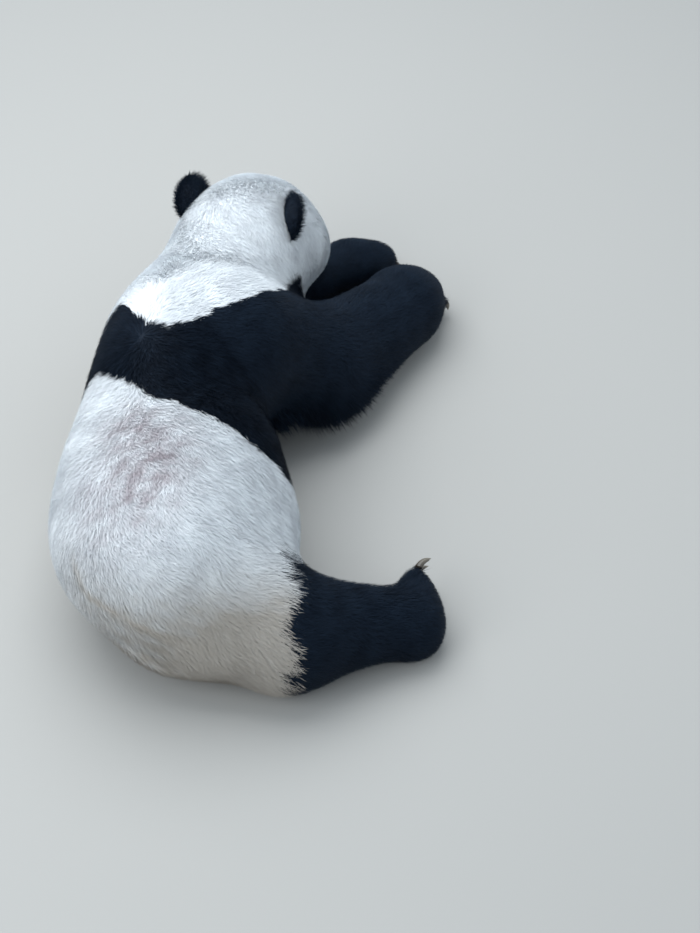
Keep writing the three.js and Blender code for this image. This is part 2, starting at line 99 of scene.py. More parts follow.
HEAD = Place((0.122, 0.465, 0.262), 20, -24, 4)
EARS = {
    "left": Place((-0.113, -0.064, 0.080), -70, -8, -14, HEAD),
    "right": Place((0.113, -0.068, 0.074), 52, -8, 14, HEAD),
}
SIDES = {"left": -1, "right": 1}
EAR_RADIUS = 0.053
EAR_THICKNESS = 0.017
EAR_DISH = 0.015
EAR_RISE = 0.008
EAR_COAT = 0.005
EAR_INSET = 0.002
TAIL = Place((-0.055, -0.595, 0.105), 114, -30, 24)
PAWS = {
    "forepaw_right": (Place((0.470, 0.490, 0.068), 38, -8), (0.082, 0.100, 0.070)),
    "forepaw_left": (Place((0.375, 0.640, 0.050), 58, -6), (0.060, 0.088, 0.052)),
    "hindfoot_right": (Place((0.482, -0.450, 0.058), -8, 4, 90), (0.058, 0.096, 0.044)),
    "hindfoot_left": (Place((0.158, -0.325, 0.046), 18), (0.055, 0.100, 0.048)),
}
WHORL = np.array((-0.076, -0.045, 0.424))


# ---------------------------------------------------------------- directions and distances


def unit(vectors):
    return vectors / np.maximum(np.linalg.norm(vectors, axis=1)[:, None], 1e-6)


def flattened(vectors, normal):
    """Vectors less their part along the normal."""
    return vectors - normal * (vectors * normal).sum(1)[:, None]


def laid(flow, normal):
    """Directions turned into the surface, of length 1."""
    return unit(flattened(flow, normal))


def mirrored(q):
    """Local points with their left half laid on the right one."""
    q = q.copy()
    q[:, 0] = np.abs(q[:, 0])
    return q


def cone(points, start, end, start_radius, end_radius):
    """Distance to a cone with round ends: the two end spheres and the cone that touches both."""
    start, end = np.array(start), np.array(end)
    along = end - start
    length2 = along @ along
    taper = start_radius - end_radius
    slant2 = length2 - taper * taper
    offset = points - start
    y = offset @ along
    z = y - length2
    x2 = ((offset * length2 - np.outer(y, along)) ** 2).sum(1)
    y2 = y * y * length2
    z2 = z * z * length2
    k = np.sign(taper) * taper * taper * x2
    side = (np.sqrt(x2 * slant2 / length2) + y * taper) / length2 - start_radius
    near_start = np.sqrt(x2 + y2) / length2 - start_radius
    near_end = np.sqrt(x2 + z2) / length2 - end_radius
    side = np.where(np.sign(y) * slant2 * y2 < k, near_start, side)
    return np.where(np.sign(z) * slant2 * z2 > k, near_end, side)


def egg(points, centre, radii, place=None):
    """Near distance to an ellipsoid: with k0 the length of p / r and k1 that of p / r squared,
    it is k0 (k0 - 1) / k1."""
    q = points if place is None else place.into(points)
    q = (q - np.array(centre)) / np.array(radii)
    k0 = np.sqrt((q * q).sum(1))
    k1 = np.sqrt(((q / np.array(radii)) ** 2).sum(1))
    return k0 * (k0 - 1) / np.maximum(k1, 1e-9)


def melt(a, b, width):
    """The union of two distances with a fillet: the lesser, less h squared times a quarter of the
    width, where h falls from 1 where the two are equal to 0 where they differ by the width."""
    h = np.maximum(width - np.abs(a - b), 0) / width
    return np.minimum(a, b) - h * h * width / 4


def join(width, shapes):
    whole = shapes[0]
    for shape in shapes[1:]:
        whole = melt(whole, shape, width)
    return whole


def head_form(p):
    q = mirrored(HEAD.into(p))
    skull = join(
        0.05,
        [
            egg(q, (0, -0.005, 0.02), (0.130, 0.150, 0.125)),
            egg(q, (0.03, 0.06, 0.05), (0.075, 0.075, 0.062)),
            egg(q, (0.085, 0.052, -0.020), (0.082, 0.104, 0.090)),
        ],
    )
    bridge = cone(q, (0, 0.09, 0.012), (0, 0.195, -0.028), 0.052, 0.036)
    lip = egg(q, (0.018, 0.165, -0.052), (0.050, 0.075, 0.043))
    jaw = cone(q, (0, 0.02, -0.085), (0, 0.165, -0.088), 0.068, 0.036)
    return melt(melt(melt(skull, bridge, 0.05), lip, 0.035), jaw, 0.04)


def neck_form(p):
    upper = cone(p, (0.01, 0.14, 0.235), (0.088, 0.38, 0.262), 0.152, 0.148)
    lower = cone(p, (0.02, 0.16, 0.17), (0.10, 0.36, 0.2), 0.135, 0.13)
    return melt(upper, lower, 0.06)


def trunk_form(p):
    return join(
        0.06,
        [
            egg(p, (-0.012, -0.27, 0.205), (0.234, 0.32, 0.206)),
            egg(p, (-0.035, -0.40, 0.205), (0.203, 0.205, 0.206)),
            egg(p, (0.045, -0.52, 0.115), (0.150, 0.135, 0.115)),
            egg(p, (0.07, -0.355, 0.165), (0.176, 0.18, 0.16)),
            egg(p, (0, 0.06, 0.208), (0.165, 0.26, 0.212)),
            egg(p, (0, 0, 0.150), (0.125, 0.175, 0.154)),
            egg(p, (-0.066, -0.04, 0.20), (0.142, 0.24, 0.18)),
            egg(p, (-0.04, 0, 0.29), (0.115, 0.24, 0.14)),
        ],
    )


def foreleg_right_form(p):
    return join(
        0.06,
        [
            cone(p, (0.09, 0.11, 0.27), (0.27, 0.215, 0.120), 0.150, 0.112),
            egg(p, (0.05, 0.08, 0.27), (0.16, 0.15, 0.16)),
            cone(p, (0.275, 0.212, 0.116), (0.460, 0.425, 0.089), 0.118, 0.093),
            paw_form(p, "forepaw_right"),
        ],
    )


def foreleg_left_form(p):
    return join(
        0.05,
        [
            cone(p, (-0.05, 0.16, 0.15), (0.02, 0.364, 0.081), 0.12, 0.085),
            cone(p, (0.03, 0.384, 0.078), (0.33, 0.613, 0.060), 0.082, 0.062),
            paw_form(p, "forepaw_left"),
        ],
    )


def hindleg_right_form(p):
    return join(
        0.055,
        [
            cone(p, (0, -0.475, 0.225), (0.215, -0.560, 0.112), 0.170, 0.116),
            cone(p, (0.215, -0.560, 0.112), (0.425, -0.502, 0.073), 0.115, 0.074),
            egg(p, (0.462, -0.502, 0.056), (0.048, 0.050, 0.058)),
            paw_form(p, "hindfoot_right"),
        ],
    )


def hindleg_left_form(p):
    return join(
        0.05,
        [
            cone(p, (-0.07, -0.42, 0.14), (0.06, -0.24, 0.102), 0.12, 0.100),
            cone(p, (0.06, -0.24, 0.098), (0.11, -0.37, 0.068), 0.10, 0.07),
            paw_form(p, "hindfoot_left"),
        ],
    )


def paw_form(p, name):
    """A paw: an ellipsoid and five toes in an arc across its front."""
    place, radii = PAWS[name]
    q = place.into(p)
    palm = egg(q, (0, 0, 0), radii)
    toes = [egg(q, toe_centre(name, n), [s * r for s, r in zip(TOE_SHARES, radii)]) for n in range(TOES)]
    return melt(palm, join(0.004, toes), 0.008)


TOES = 5
TOE_SHARES = (0.21, 0.28, 0.26)
TOE_STEP = 0.36


def toe_centre(name, n):
    """Where toe n lies in its paw's own frame: evenly across, and further back towards the sides."""
    radii = PAWS[name][1]
    across = n - (TOES - 1) / 2
    return (across * TOE_STEP * radii[0], (0.78 - 0.05 * across**2) * radii[1], -0.2 * radii[2])


def tail_form(p):
    return egg(p, (0, 0, 0), (0.042, 0.080, 0.026), TAIL)


LEG_FORMS = {
    "foreleg_right": (foreleg_right_form, 0.05),
    "foreleg_left": (foreleg_left_form, 0.03),
    "hindleg_right": (hindleg_right_form, 0.06),
    "hindleg_left": (hindleg_left_form, 0.03),
}


def forms(p):
    """The distance to each part of the body by itself."""
    made = {"trunk": trunk_form(p), "neck": neck_form(p), "head": head_form(p), "tail": tail_form(p)}
    made.update((name, form(p)) for name, (form, _) in LEG_FORMS.items())
    return made


def body(p, made=None):
    """The distance to the tips of the whole coat, negative inside it, cut flat at the floor."""
    return np.maximum(body_above(forms(p) if made is None else made), -p[:, 2])


NECK_FILLET = 0.08
HEAD_FILLET = 0.06
TAIL_FILLET = 0.015


def body_above(made):
    """The coat's tips without the cut at the floor."""
    whole = melt(melt(made["trunk"], made["neck"], NECK_FILLET), made["head"], HEAD_FILLET)
    for name, (_, fillet) in LEG_FORMS.items():
        whole = melt(whole, made[name], fillet)
    return melt(whole, made["tail"], TAIL_FILLET)


def step_between(value, low, high):
    t = np.clip((value - low) / (high - low), 0, 1)
    return t * t * (3 - 2 * t)


def ripple(p, size, seed, waves=6):
    """Smooth noise in -1..1: the mean of plane waves in fixed random directions, of about the
    given size."""
    rng = np.random.default_rng(seed)
    total = np.zeros(len(p))
    for _ in range(waves):
        direction = rng.normal(size=3)
        direction *= rng.uniform(0.6, 1.5) * 2 * np.pi / size / np.linalg.norm(direction)
        total += np.sin(p @ direction + rng.uniform(0, 6.28))
    return total / waves * 1.5


def nearness(p, place, radii, centre=(0, 0, 0)):
    """1 at the centre of an ellipsoid in a local frame, falling as a bell to about 0.37 at its rim."""
    q = (place.into(p) - np.array(centre)) / np.array(radii)
    return np.exp(-(q * q).sum(1))


# ---------------------------------------------------------------- how deep, long and dark the coat is


def paw_share(p):
    return np.max([nearness(p, place, [1.15 * r for r in radii]) for place, radii in PAWS.values()], 0)


def face_share(p):
    """1 on the muzzle and round the eyes, falling to 0 at the ears and cheeks."""
    y = HEAD.into(p)[:, 1]
    reach = np.linalg.norm(p - HEAD.centre, axis=1)
    return step_between(y, 0.03, 0.15) * step_between(-reach, -0.42, -0.34)


def coat_depth(p):
    """How far the skin lies below the tips of the coat, in metres."""
    coat = bpy.context.scene.panda_coat
    depth = coat.body_depth + (coat.head_depth - coat.body_depth) * crown_share(p)
    depth += (coat.face_depth - depth) * face_share(p)
    return depth + (coat.paw_depth - depth) * np.clip(1.5 * paw_share(p), 0, 1)


def crown_share(p):
    """1 on the head, falling to 0 along the neck."""
    return step_between(-np.linalg.norm(p - HEAD.centre, axis=1), -0.30, -0.16)


# The band over the shoulders: where its front and hind edges cross the spine, and how far each
# edge moves on each side. An angle of 0 is straight up from the trunk's axis, 90 is the right side.
BAND_AXIS_HEIGHT = 0.21
BAND_FRONT = -0.018
BAND_FRONT_LOWEST = -8
BAND_FRONT_LIMIT = 0.34
BAND_RIGHT_RISE = 0.118
BAND_LEFT_RISE = 0.073
BAND_LEFT_MOST = 0.135
BAND_TO_LEFT_FORELEG = 0.22
BAND_REAR = -0.218
BAND_REAR_FALL = 0.072
BAND_REAR_RISE = 0.155
BAND_UNDER_RISE = 0.16


def band_edges(p):
    """The lengthwise places of the band's front and hind edges at each point's angle round the
    trunk: the front one is a power of the angle from its lowest point on either side, and the
    hind one a tanh on the right and a smooth step on the left, and turns forward under the belly.
    Low on the left the front one steps forward to meet the foreleg."""
    angle = np.degrees(np.arctan2(p[:, 0], p[:, 2] - BAND_AXIS_HEIGHT))
    right = np.maximum(angle - BAND_FRONT_LOWEST, 0) / 45
    left = np.maximum(BAND_FRONT_LOWEST - angle, 0) / 20
    front = BAND_FRONT + BAND_RIGHT_RISE * right**1.7
    front += np.minimum(BAND_LEFT_RISE * left**1.5, BAND_LEFT_MOST)
    front += BAND_TO_LEFT_FORELEG * step_between(-angle, 64, 96)
    rear = BAND_REAR - BAND_REAR_FALL * np.tanh(np.maximum(angle, 0) / 48)
    rear += BAND_REAR_RISE * step_between(-angle, 0, 62)
    rear += BAND_UNDER_RISE * step_between(angle, 78, 130)
    return angle, np.minimum(front, BAND_FRONT_LIMIT), rear


def blackness(p, made):
    """1 where the coat is black off the ears: the eye patches, the band over the shoulders, the
    forelegs and the hind legs below the thigh."""
    wobble = 0.008 * ripple(p, 0.09, 11) + 0.005 * ripple(p, 0.03, 12)
    angle, front, rear = band_edges(p)
    behind_front = step_between(front - p[:, 1] + wobble, -0.007, 0.007)
    ahead_of_rear = step_between(p[:, 1] - rear + wobble, -0.008, 0.008)
    core = np.minimum(made["trunk"], made["neck"])
    off_head = step_between(made["head"] - 0.02 - core, -0.01, 0.01)
    band = behind_front * ahead_of_rear * off_head
    core = np.minimum(core, made["head"])
    arms = np.minimum(made["foreleg_right"], made["foreleg_left"])
    low = np.maximum(step_between(angle, 84, 96), step_between(-angle, 95, 110))
    beside = step_between(p[:, 0], 0.20, 0.24)
    arm = step_between(core - arms + 0.6 * wobble, 0.0, 0.012) * ahead_of_rear
    arm *= np.max([behind_front, low, beside], 0)
    leg = step_between(p[:, 0] + 0.016 * ripple(p, 0.07, 13), 0.200, 0.272)
    leg *= step_between(core - made["hindleg_right"], -0.005, 0.006)
    shin = step_between(made["trunk"] - made["hindleg_left"], -0.012, 0.004)
    shin *= step_between(p[:, 0], 0.02, 0.06) * step_between(-p[:, 2], -0.14, -0.11)
    shin *= step_between(-p[:, 1], 0.10, 0.14)
    q = mirrored(HEAD.into(p))
    eye = ((EYE_PATCH.into(q) / EYE_PATCH_RADII) ** 2).sum(1)
    eye = step_between(-eye + 0.10 * ripple(p, 0.02, 14), -1.25, -0.85)
    return np.max([band, arm, leg, shin, eye], 0)


def spot(p, centre, radii, yaw=0.0):
    """A bell about a centre: 1 there, and about 0.37 at the rim of a turned ellipsoid."""
    return nearness(p, Place(centre, yaw), radii)


# The fold over the rump, above the tail
CREASE = np.array(
    [
        (-0.185, -0.528, 0.282),
        (-0.163, -0.575, 0.231),
        (-0.085, -0.630, 0.228),
        (-0.016, -0.652, 0.194),
        (0.056, -0.664, 0.171),
        (0.137, -0.670, 0.166),
    ]
)
CREASE_REACH = 0.011


def crease(p):
    """1 along the fold over the rump and 0 off it: a bell of the distance to a line of points."""
    away = np.full(len(p), 1.0)
    for start, end in zip(CREASE[:-1], CREASE[1:]):
        along = end - start
        share = np.clip((p - start) @ along / (along @ along), 0, 1)
        away = np.minimum(away, np.linalg.norm(p - start - share[:, None] * along, axis=1))
    return np.exp(-((away / CREASE_REACH) ** 2)) * step_between(-p[:, 1], 0.48, 0.56)


def soil_and_shade_share(p):
    """How brown and dark the white coat is, 0 to 1: real soil on the hind side of the right thigh and
    on the rump, with painted shade mixed in low on the rump and thigh, a little painted shade along
    the belly, and painted shade in the fold over the rump, broken up by noise."""
    cloud = 0.5 + 0.5 * ripple(p, 0.10, 21)
    streaks = 0.5 + 0.5 * ripple(p, 0.032, 22)
    thigh = spot(p, (0.165, -0.665, 0.17), (0.15, 0.10, 0.11)) * (0.7 + 0.5 * cloud)
    rump = step_between(-p[:, 1], 0.42, 0.66) * step_between(-p[:, 2], -0.38, -0.15)
    belly = step_between(-p[:, 2], -0.15, -0.02)
    off_head = 1 - step_between(p[:, 1], -0.02, 0.12)
    # Soil and painted shade together: thigh and rump take both, the belly term is painted shade low on
    # the body, and the crease term is painted shade in the fold
    share = thigh + 0.85 * rump * (0.6 + 0.4 * streaks) + 0.35 * belly + 0.6 * crease(p)
    return np.clip(share * off_head + 0.05 * streaks, 0, 1)


def stain(p):
    """The purplish grey over the loin, in three bells broken up by noise."""
    loin = spot(p, (-0.022, -0.40, 0.415), (0.072, 0.13, 0.12), 12)
    loin += 0.8 * spot(p, (-0.085, -0.28, 0.40), (0.060, 0.06, 0.12))
    loin += 0.5 * spot(p, (-0.110, -0.46, 0.36), (0.09, 0.12, 0.12))
    return np.clip(loin * (0.62 + 0.34 * ripple(p, 0.055, 23) + 0.3 * ripple(p, 0.018, 24)), 0, 1)


LIMBS = {
    "foreleg_right": ((0.09, 0.11, 0.27), (0.27, 0.215, 0.12), (0.50, 0.50, 0.06)),
    "foreleg_left": ((-0.05, 0.16, 0.15), (0.025, 0.37, 0.08), (0.40, 0.66, 0.05)),
    "hindleg_right": ((0, -0.475, 0.225), (0.215, -0.56, 0.112), (0.48, -0.50, 0.06)),
    "hindleg_left": ((-0.07, -0.42, 0.14), (0.06, -0.24, 0.10), (0.17, -0.31, 0.05)),
}


def limb_flow(p, name):
    """The direction down a limb: along its upper length above the joint and its lower one below."""
    top, bend, end = (np.array(x) for x in LIMBS[name])
    upper, lower = unit(np.array([bend - top, end - bend]))
    share = step_between((p - bend) @ (upper + lower), -0.08, 0.08)[:, None]
    return upper * (1 - share) + lower * share


HALF_TRUNK = 0.2
WHORL_REACH = 0.17
FLOW_BLEND = 0.022


def coat_flow(p, made, normal):
    """The lie of the coat as unit tangents: back and down over the trunk and neck, away from the
    whorl at the withers, back from the nose over the head, and down each limb to its paw."""
    out = np.clip(p[:, 0] / HALF_TRUNK, -1, 1)
    back = np.stack([0.15 + 0.75 * out, -np.ones(len(p)), -0.35 * np.abs(out)], 1)
    spread = p - WHORL
    reach = np.linalg.norm(spread, axis=1)[:, None]
    back = back + 2.6 * spread / np.maximum(reach, 0.01) * np.exp(-((reach / WHORL_REACH) ** 2))
    q = HEAD.into(p)
    over = np.stack([1.5 * q[:, 0], np.full(len(p), -0.16), -0.02 - 0.35 * np.abs(q[:, 0])], 1)
    flows = {
        "trunk": back,
        "neck": back * (0.6, 1, 1),
        "head": over @ HEAD.turn.T,
        "tail": np.broadcast_to(TAIL.turn[:, 1], p.shape),
    }
    for name in LIMBS:
        flows[name] = limb_flow(p, name) + np.array((0, 0, -0.15))
    nearest = np.min([made[name] for name in flows], 0)
    total = np.zeros((len(p), 3))
    for name, flow in flows.items():
        weight = np.exp(-(made[name] - nearest) / FLOW_BLEND)
        total += unit(flow) * weight[:, None]
    sway = 0.45 * ripple(p, 0.16, 31) + 0.25 * ripple(p, 0.045, 32)
    total += np.cross(normal, total) * sway[:, None]
    return laid(total, normal)


# ---------------------------------------------------------------- meshes from arrays


def slope(field, p, reach=0.001):
    """The unit slope of a distance at points, from differences over a short reach."""
    made = np.empty_like(p)
    for axis in range(3):
        offset = np.zeros(3)
        offset[axis] = reach
        made[:, axis] = field(p + offset) - field(p - offset)
    made /= 2 * reach
    return made / np.maximum(np.linalg.norm(made, axis=1)[:, None], 1e-9)


def mesh_object(name, points, faces, smooth=True, attributes=None):
    """A mesh object at the origin from arrays: points (n, 3), faces (m, 3 or 4), and named numbers
    for each point."""
    mesh = bpy.data.meshes.new(name)
    count, sides = faces.shape
    mesh.vertices.add(len(points))
    mesh.vertices.foreach_set("co", np.ascontiguousarray(points, np.float32).ravel())
    mesh.loops.add(count * sides)
    mesh.loops.foreach_set("vertex_index", np.ascontiguousarray(faces, np.int32).ravel())
    mesh.polygons.add(count)
    mesh.polygons.foreach_set("loop_start", np.arange(0, count * sides, sides, dtype=np.int32))
    for key, values in (attributes or {}).items():
        layer = mesh.attributes.new(key, "FLOAT", "POINT")
        layer.data.foreach_set("value", np.ascontiguousarray(values, np.float32))
    mesh.update(calc_edges=True)
    if smooth:
        mesh.shade_smooth()
    else:
        mesh.shade_flat()
    made = bpy.data.objects.new(name, mesh)
    bpy.context.scene.collection.objects.link(made)
    return made


def set_uv(made, corner_uv):
    layer = made.data.uv_layers.new(name="OFBake")
    layer.data.foreach_set("uv", np.ascontiguousarray(corner_uv, np.float32).ravel())


def graded(low, high, coarse, fine_low, fine_high, fine):
    """Positions along an axis: coarse steps, with fine ones between two bounds."""
    spans = ((low, fine_low, coarse), (fine_low, fine_high, fine), (fine_high, high, coarse))
    runs = []
    for start, end, step in spans:
        if end - start > 1e-6:
            runs.append(np.linspace(start, end, max(2, round((end - start) / step) + 1))[:-1])
    return np.append(np.concatenate(runs), high)


POINTS_AT_ONCE = 200000


def net_of(field, xs, ys, zs, block=4):
    """The surface where a distance is zero, as a net on a graded lattice: one vertex in each cell
    that it crosses, at the mean of the crossings of the cell's edges, and a quad round each lattice
    edge that it crosses. Only blocks near the surface are worked out at the lattice's own step."""
    axes = (xs, ys, zs)
    coarse = [np.append(axis[::block], axis[-1]) for axis in axes]
    grid = np.stack(np.meshgrid(*coarse, indexing="ij"), -1)
    rough = field(grid.reshape(-1, 3)).reshape(grid.shape[:3])
    widest = block * max(np.diff(axis).max() for axis in axes)
    near = np.abs(rough) < widest * 1.3
    owner = [
        np.minimum((np.arange(len(axis)) + block // 2) // block, len(few) - 1)
        for axis, few in zip(axes, coarse)
    ]
    value = rough[np.ix_(*owner)]
    wanted = np.argwhere(near[np.ix_(*owner)])
    points = np.stack([axis[wanted[:, n]] for n, axis in enumerate(axes)], 1)
    chunks = np.array_split(points, max(1, len(points) // POINTS_AT_ONCE))
    value[tuple(wanted.T)] = np.concatenate([field(chunk) for chunk in chunks])
    inside = value < 0
    corners = np.array([(a, b, c) for a in (0, 1) for b in (0, 1) for c in (0, 1)])
    size = np.array(value.shape) - 1
    count = sum(
        inside[a : a + size[0], b : b + size[1], c : c + size[2]].astype(np.int8) for a, b, c in corners
    )
    cells = np.argwhere((count > 0) & (count < 8))
    number = np.full(size, -1, np.int32)
    number[tuple(cells.T)] = np.arange(len(cells))
    total = np.zeros((len(cells), 3))
    crossings = np.zeros(len(cells))
    for corner in corners:
        for axis in range(3):
            if corner[axis]:
                continue
            a = cells + corner
            b = a.copy()
            b[:, axis] += 1
            va, vb = value[tuple(a.T)], value[tuple(b.T)]
            crossed = (va < 0) != (vb < 0)
            share = np.where(crossed, va / np.where(crossed, va - vb, 1), 0)
            pa = np.stack([axes[n][a[:, n]] for n in range(3)], 1)
            pb = np.stack([axes[n][b[:, n]] for n in range(3)], 1)
            total += (pa + (pb - pa) * share[:, None]) * crossed[:, None]
            crossings += crossed
    vertices = total / crossings[:, None]
    quads = []
    for axis in range(3):
        ahead = np.roll(inside, -1, axis)
        crossed = np.argwhere(inside != ahead)
        crossed = crossed[(crossed[:, axis] < size[axis])]
        u, w = (axis + 1) % 3, (axis + 2) % 3
        crossed = crossed[(crossed[:, u] > 0) & (crossed[:, w] > 0)]
        crossed = crossed[(crossed[:, u] < size[u]) & (crossed[:, w] < size[w])]
        ring = []
        for du, dw in ((1, 1), (0, 1), (0, 0), (1, 0)):
            cell = crossed.copy()
            cell[:, u] -= du
            cell[:, w] -= dw
            ring.append(number[tuple(cell.T)])
        ring = np.stack(ring, 1)
        outward = inside[tuple(crossed.T)]
        quads.append(np.where(outward[:, None], ring, ring[:, ::-1]))
    return vertices, np.concatenate(quads)


# ---------------------------------------------------------------- the unwrap that every piece shares

CHART_AXES = {
    "trunk": ((-0.02, -0.50, 0.19), (0.0, 0.10, 0.20), 0.20),
    "neck": ((0.01, 0.14, 0.21), (0.09, 0.38, 0.24), 0.15),
    "head": ((0.11, 0.44, 0.25), (0.135, 0.53, 0.23), 0.13),
    "tail": ((-0.09, -0.58, 0.15), (-0.12, -0.62, 0.11), 0.03),
    "foreleg_right": ((0.10, 0.12, 0.25), (0.46, 0.44, 0.07), 0.10),
    "foreleg_left": ((-0.04, 0.18, 0.12), (0.37, 0.64, 0.05), 0.08),
    "hindleg_right": ((0.02, -0.48, 0.20), (0.46, -0.50, 0.06), 0.10),
    "hindleg_left": ((-0.04, -0.36, 0.10), (0.18, -0.31, 0.05), 0.08),
    "ear_left": (EARS["left"].out((0, 0, 0.0)), EARS["left"].out((0, 0.001, 0.0)), 0.045),
    "ear_right": (EARS["right"].out((0, 0, 0.0)), EARS["right"].out((0, 0.001, 0.0)), 0.045),
}
PARTS = list(CHART_AXES)
CHART_CELLS = {
    "trunk": (0.00, 0.00, 0.60, 0.50),
    "neck": (0.60, 0.00, 0.40, 0.25),
    "head": (0.60, 0.25, 0.40, 0.25),
    "foreleg_right": (0.00, 0.50, 0.35, 0.32),
    "foreleg_left": (0.35, 0.50, 0.30, 0.32),
    "hindleg_right": (0.65, 0.50, 0.35, 0.32),
    "hindleg_left": (0.00, 0.82, 0.30, 0.18),
    "tail": (0.30, 0.82, 0.14, 0.18),
    "ear_left": (0.44, 0.82, 0.28, 0.18),
    "ear_right": (0.72, 0.82, 0.28, 0.18),
}
CELL_MARGIN = 0.04


def unwrapped(points, part):
    """Where points of a part lie on the unwrap: the turn round the part's axis goes across its cell,
    and the way along its axis goes up it, with each end rounded off like a ball's latitude. Both
    are shares of the cell, from 0 to 1."""
    start, end, radius = CHART_AXES[part]
    start, end = np.array(start), np.array(end)
    length = np.linalg.norm(end - start)
    axis = (end - start) / length
    side = np.cross(axis, (0, 0, 1.0))
    side /= np.linalg.norm(side)
    up = np.cross(side, axis)
    offset = points - start
    way = offset @ axis
    across, above = offset @ side, offset @ up
    kept = np.clip(way, 0, length)
    reach = np.hypot(across, above)
    end_turn = radius * np.arctan2(way - kept, np.maximum(reach, 1e-5))
    quarter = radius * np.pi / 2
    v = (kept + end_turn + quarter) / (length + 2 * quarter)
    u = np.arctan2(across, above) / (2 * np.pi) + 0.5
    return u, v


def in_cell(u, v, part):
    left, low, width, height = CHART_CELLS[part]
    inner = 1 - 2 * CELL_MARGIN
    across = left + width * (CELL_MARGIN + inner * u)
    up = low + height * (CELL_MARGIN + inner * v)
    return np.stack([across, up], -1)


def corner_unwrap(points, faces, labels):
    """The unwrap at each corner of each face, with the corners that fall across the seam of their
    part's turn moved beside the face's middle."""
    made = np.zeros(faces.shape + (2,))
    for n, part in enumerate(PARTS):
        chosen = labels == n
        corners = points[faces[chosen]]
        middle_u, _ = unwrapped(corners.mean(1), part)
        u, v = unwrapped(corners.reshape(-1, 3), part)
        u = u.reshape(corners.shape[:2])
        u += np.round(middle_u[:, None] - u)
        made[chosen] = in_cell(u, v.reshape(u.shape), part)
    return made


# ---------------------------------------------------------------- node materials


def material(name, **sockets):
    """A material with its Principled shader, whose constants are set on the shader's own sockets."""
    made = bpy.data.materials.new(name)
    made.use_nodes = True
    shader = made.node_tree.nodes["Principled BSDF"]
    for key, value in sockets.items():
        shader.inputs[key.replace("_", " ")].default_value = value
    return made, made.node_tree, shader


def node(tree, kind, operation=None, **inputs):
    made = tree.nodes.new(kind)
    if operation:
        made.operation = operation
    for key, value in inputs.items():
        index = int(key[1:]) if key[0] == "i" and key[1:].isdigit() else key.replace("_", " ")
        if isinstance(value, bpy.types.NodeSocket):
            tree.links.new(value, made.inputs[index])
        else:
            made.inputs[index].default_value = value
    return made


def attribute(tree, name):
    made = tree.nodes.new("ShaderNodeAttribute")
    made.attribute_name = name
    return made.outputs["Fac"]


def mixed(tree, share, first, second):
    """The colour between two colours, by a share."""
    made = tree.nodes.new("ShaderNodeMix")
    made.data_type = "RGBA"
    for index, value in ((0, share), (6, first), (7, second)):
        if isinstance(value, bpy.types.NodeSocket):
            tree.links.new(value, made.inputs[index])
        else:
            made.inputs[index].default_value = value
    return made.outputs[2]


def noise(tree, scale, detail=3.0, stretch=(1, 1, 1)):
    place = tree.nodes.new("ShaderNodeTexCoord").outputs["Object"]
    mapping = node(tree, "ShaderNodeMapping", Vector=place, Scale=stretch)
    made = node(tree, "ShaderNodeTexNoise", Vector=mapping.outputs[0], Scale=scale, Detail=detail)
    return made.outputs["Fac"]


def bumped(tree, shader, height, strength, distance):
    bump = node(tree, "ShaderNodeBump", Height=height, Strength=strength, Distance=distance)
    tree.links.new(bump.outputs[0], shader.inputs["Normal"])


def opaque(colour):
    return (*colour, 1.0)


# How far the white coat is painted towards the shade colour at a tuft's root
ROOT_SHADE_SHARE = 0.3


def coat_colour(tree, colours):
    """The coat's colour from what each point carries: clean white, or soiled white with painted shade
    mixed in, each tuft a little lighter or darker, with painted shade at its root, and the black
    laid over it, whose lighter tufts carry a painted bluish sheen."""
    white = mixed(tree, attribute(tree, "tone"), opaque(colours.white_shade), opaque(colours.white))
    # Real soil, and painted shade in the rump's fold and low on the body, in one brown
    white = mixed(tree, attribute(tree, "soil_and_shade"), white, opaque(colours.soil_and_shade))
    white = mixed(tree, attribute(tree, "stain"), white, opaque(colours.stain))
    # Painted shade at each tuft's root, deep in the coat
    depth = node(tree, "ShaderNodeMath", "MULTIPLY", i0=attribute(tree, "root"), i1=ROOT_SHADE_SHARE)
    white = mixed(tree, depth.outputs[0], white, opaque(colours.root_shade))
    # The lighter black tufts differ at random and carry a painted bluish sheen
    black = mixed(tree, attribute(tree, "tone"), opaque(colours.black), opaque(colours.black_tone_and_sheen))
    return mixed(tree, attribute(tree, "dark"), white, black)


def fur_material(name, roughness, shine, sheen):
    colours = bpy.context.scene.panda_colours
    made, tree, shader = material(
        name,
        Roughness=roughness,
        Sheen_Weight=sheen,
        Sheen_Roughness=0.5,
        Sheen_Tint=opaque(colours.sheen),
        Specular_IOR_Level=shine,
    )
    tree.links.new(coat_colour(tree, colours), shader.inputs["Base Color"])
    return made


def skin_material():
    colours = bpy.context.scene.panda_colours
    made, tree, shader = material("short_underfur", Roughness=0.85, Specular_IOR_Level=0.2)
    coat = coat_colour(tree, colours)
    bare = mixed(tree, noise(tree, 300.0), opaque(colours.lip), opaque(colours.lip_light))
    tree.links.new(mixed(tree, attribute(tree, "bare"), coat, bare), shader.inputs["Base Color"])
    bumped(tree, shader, noise(tree, 240.0, 4.0, (1, 0.25, 1)), 0.6, 0.003)
    return made


def finished(piece, finish, replaced=()):
    """Gives a piece its material, lets it ride with the animal and hides the imported parts it replaces.
    """
    piece.data.materials.append(finish)
    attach(piece, "root")
    if replaced:
        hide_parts(*replaced)
    return piece


# ---------------------------------------------------------------- the skin


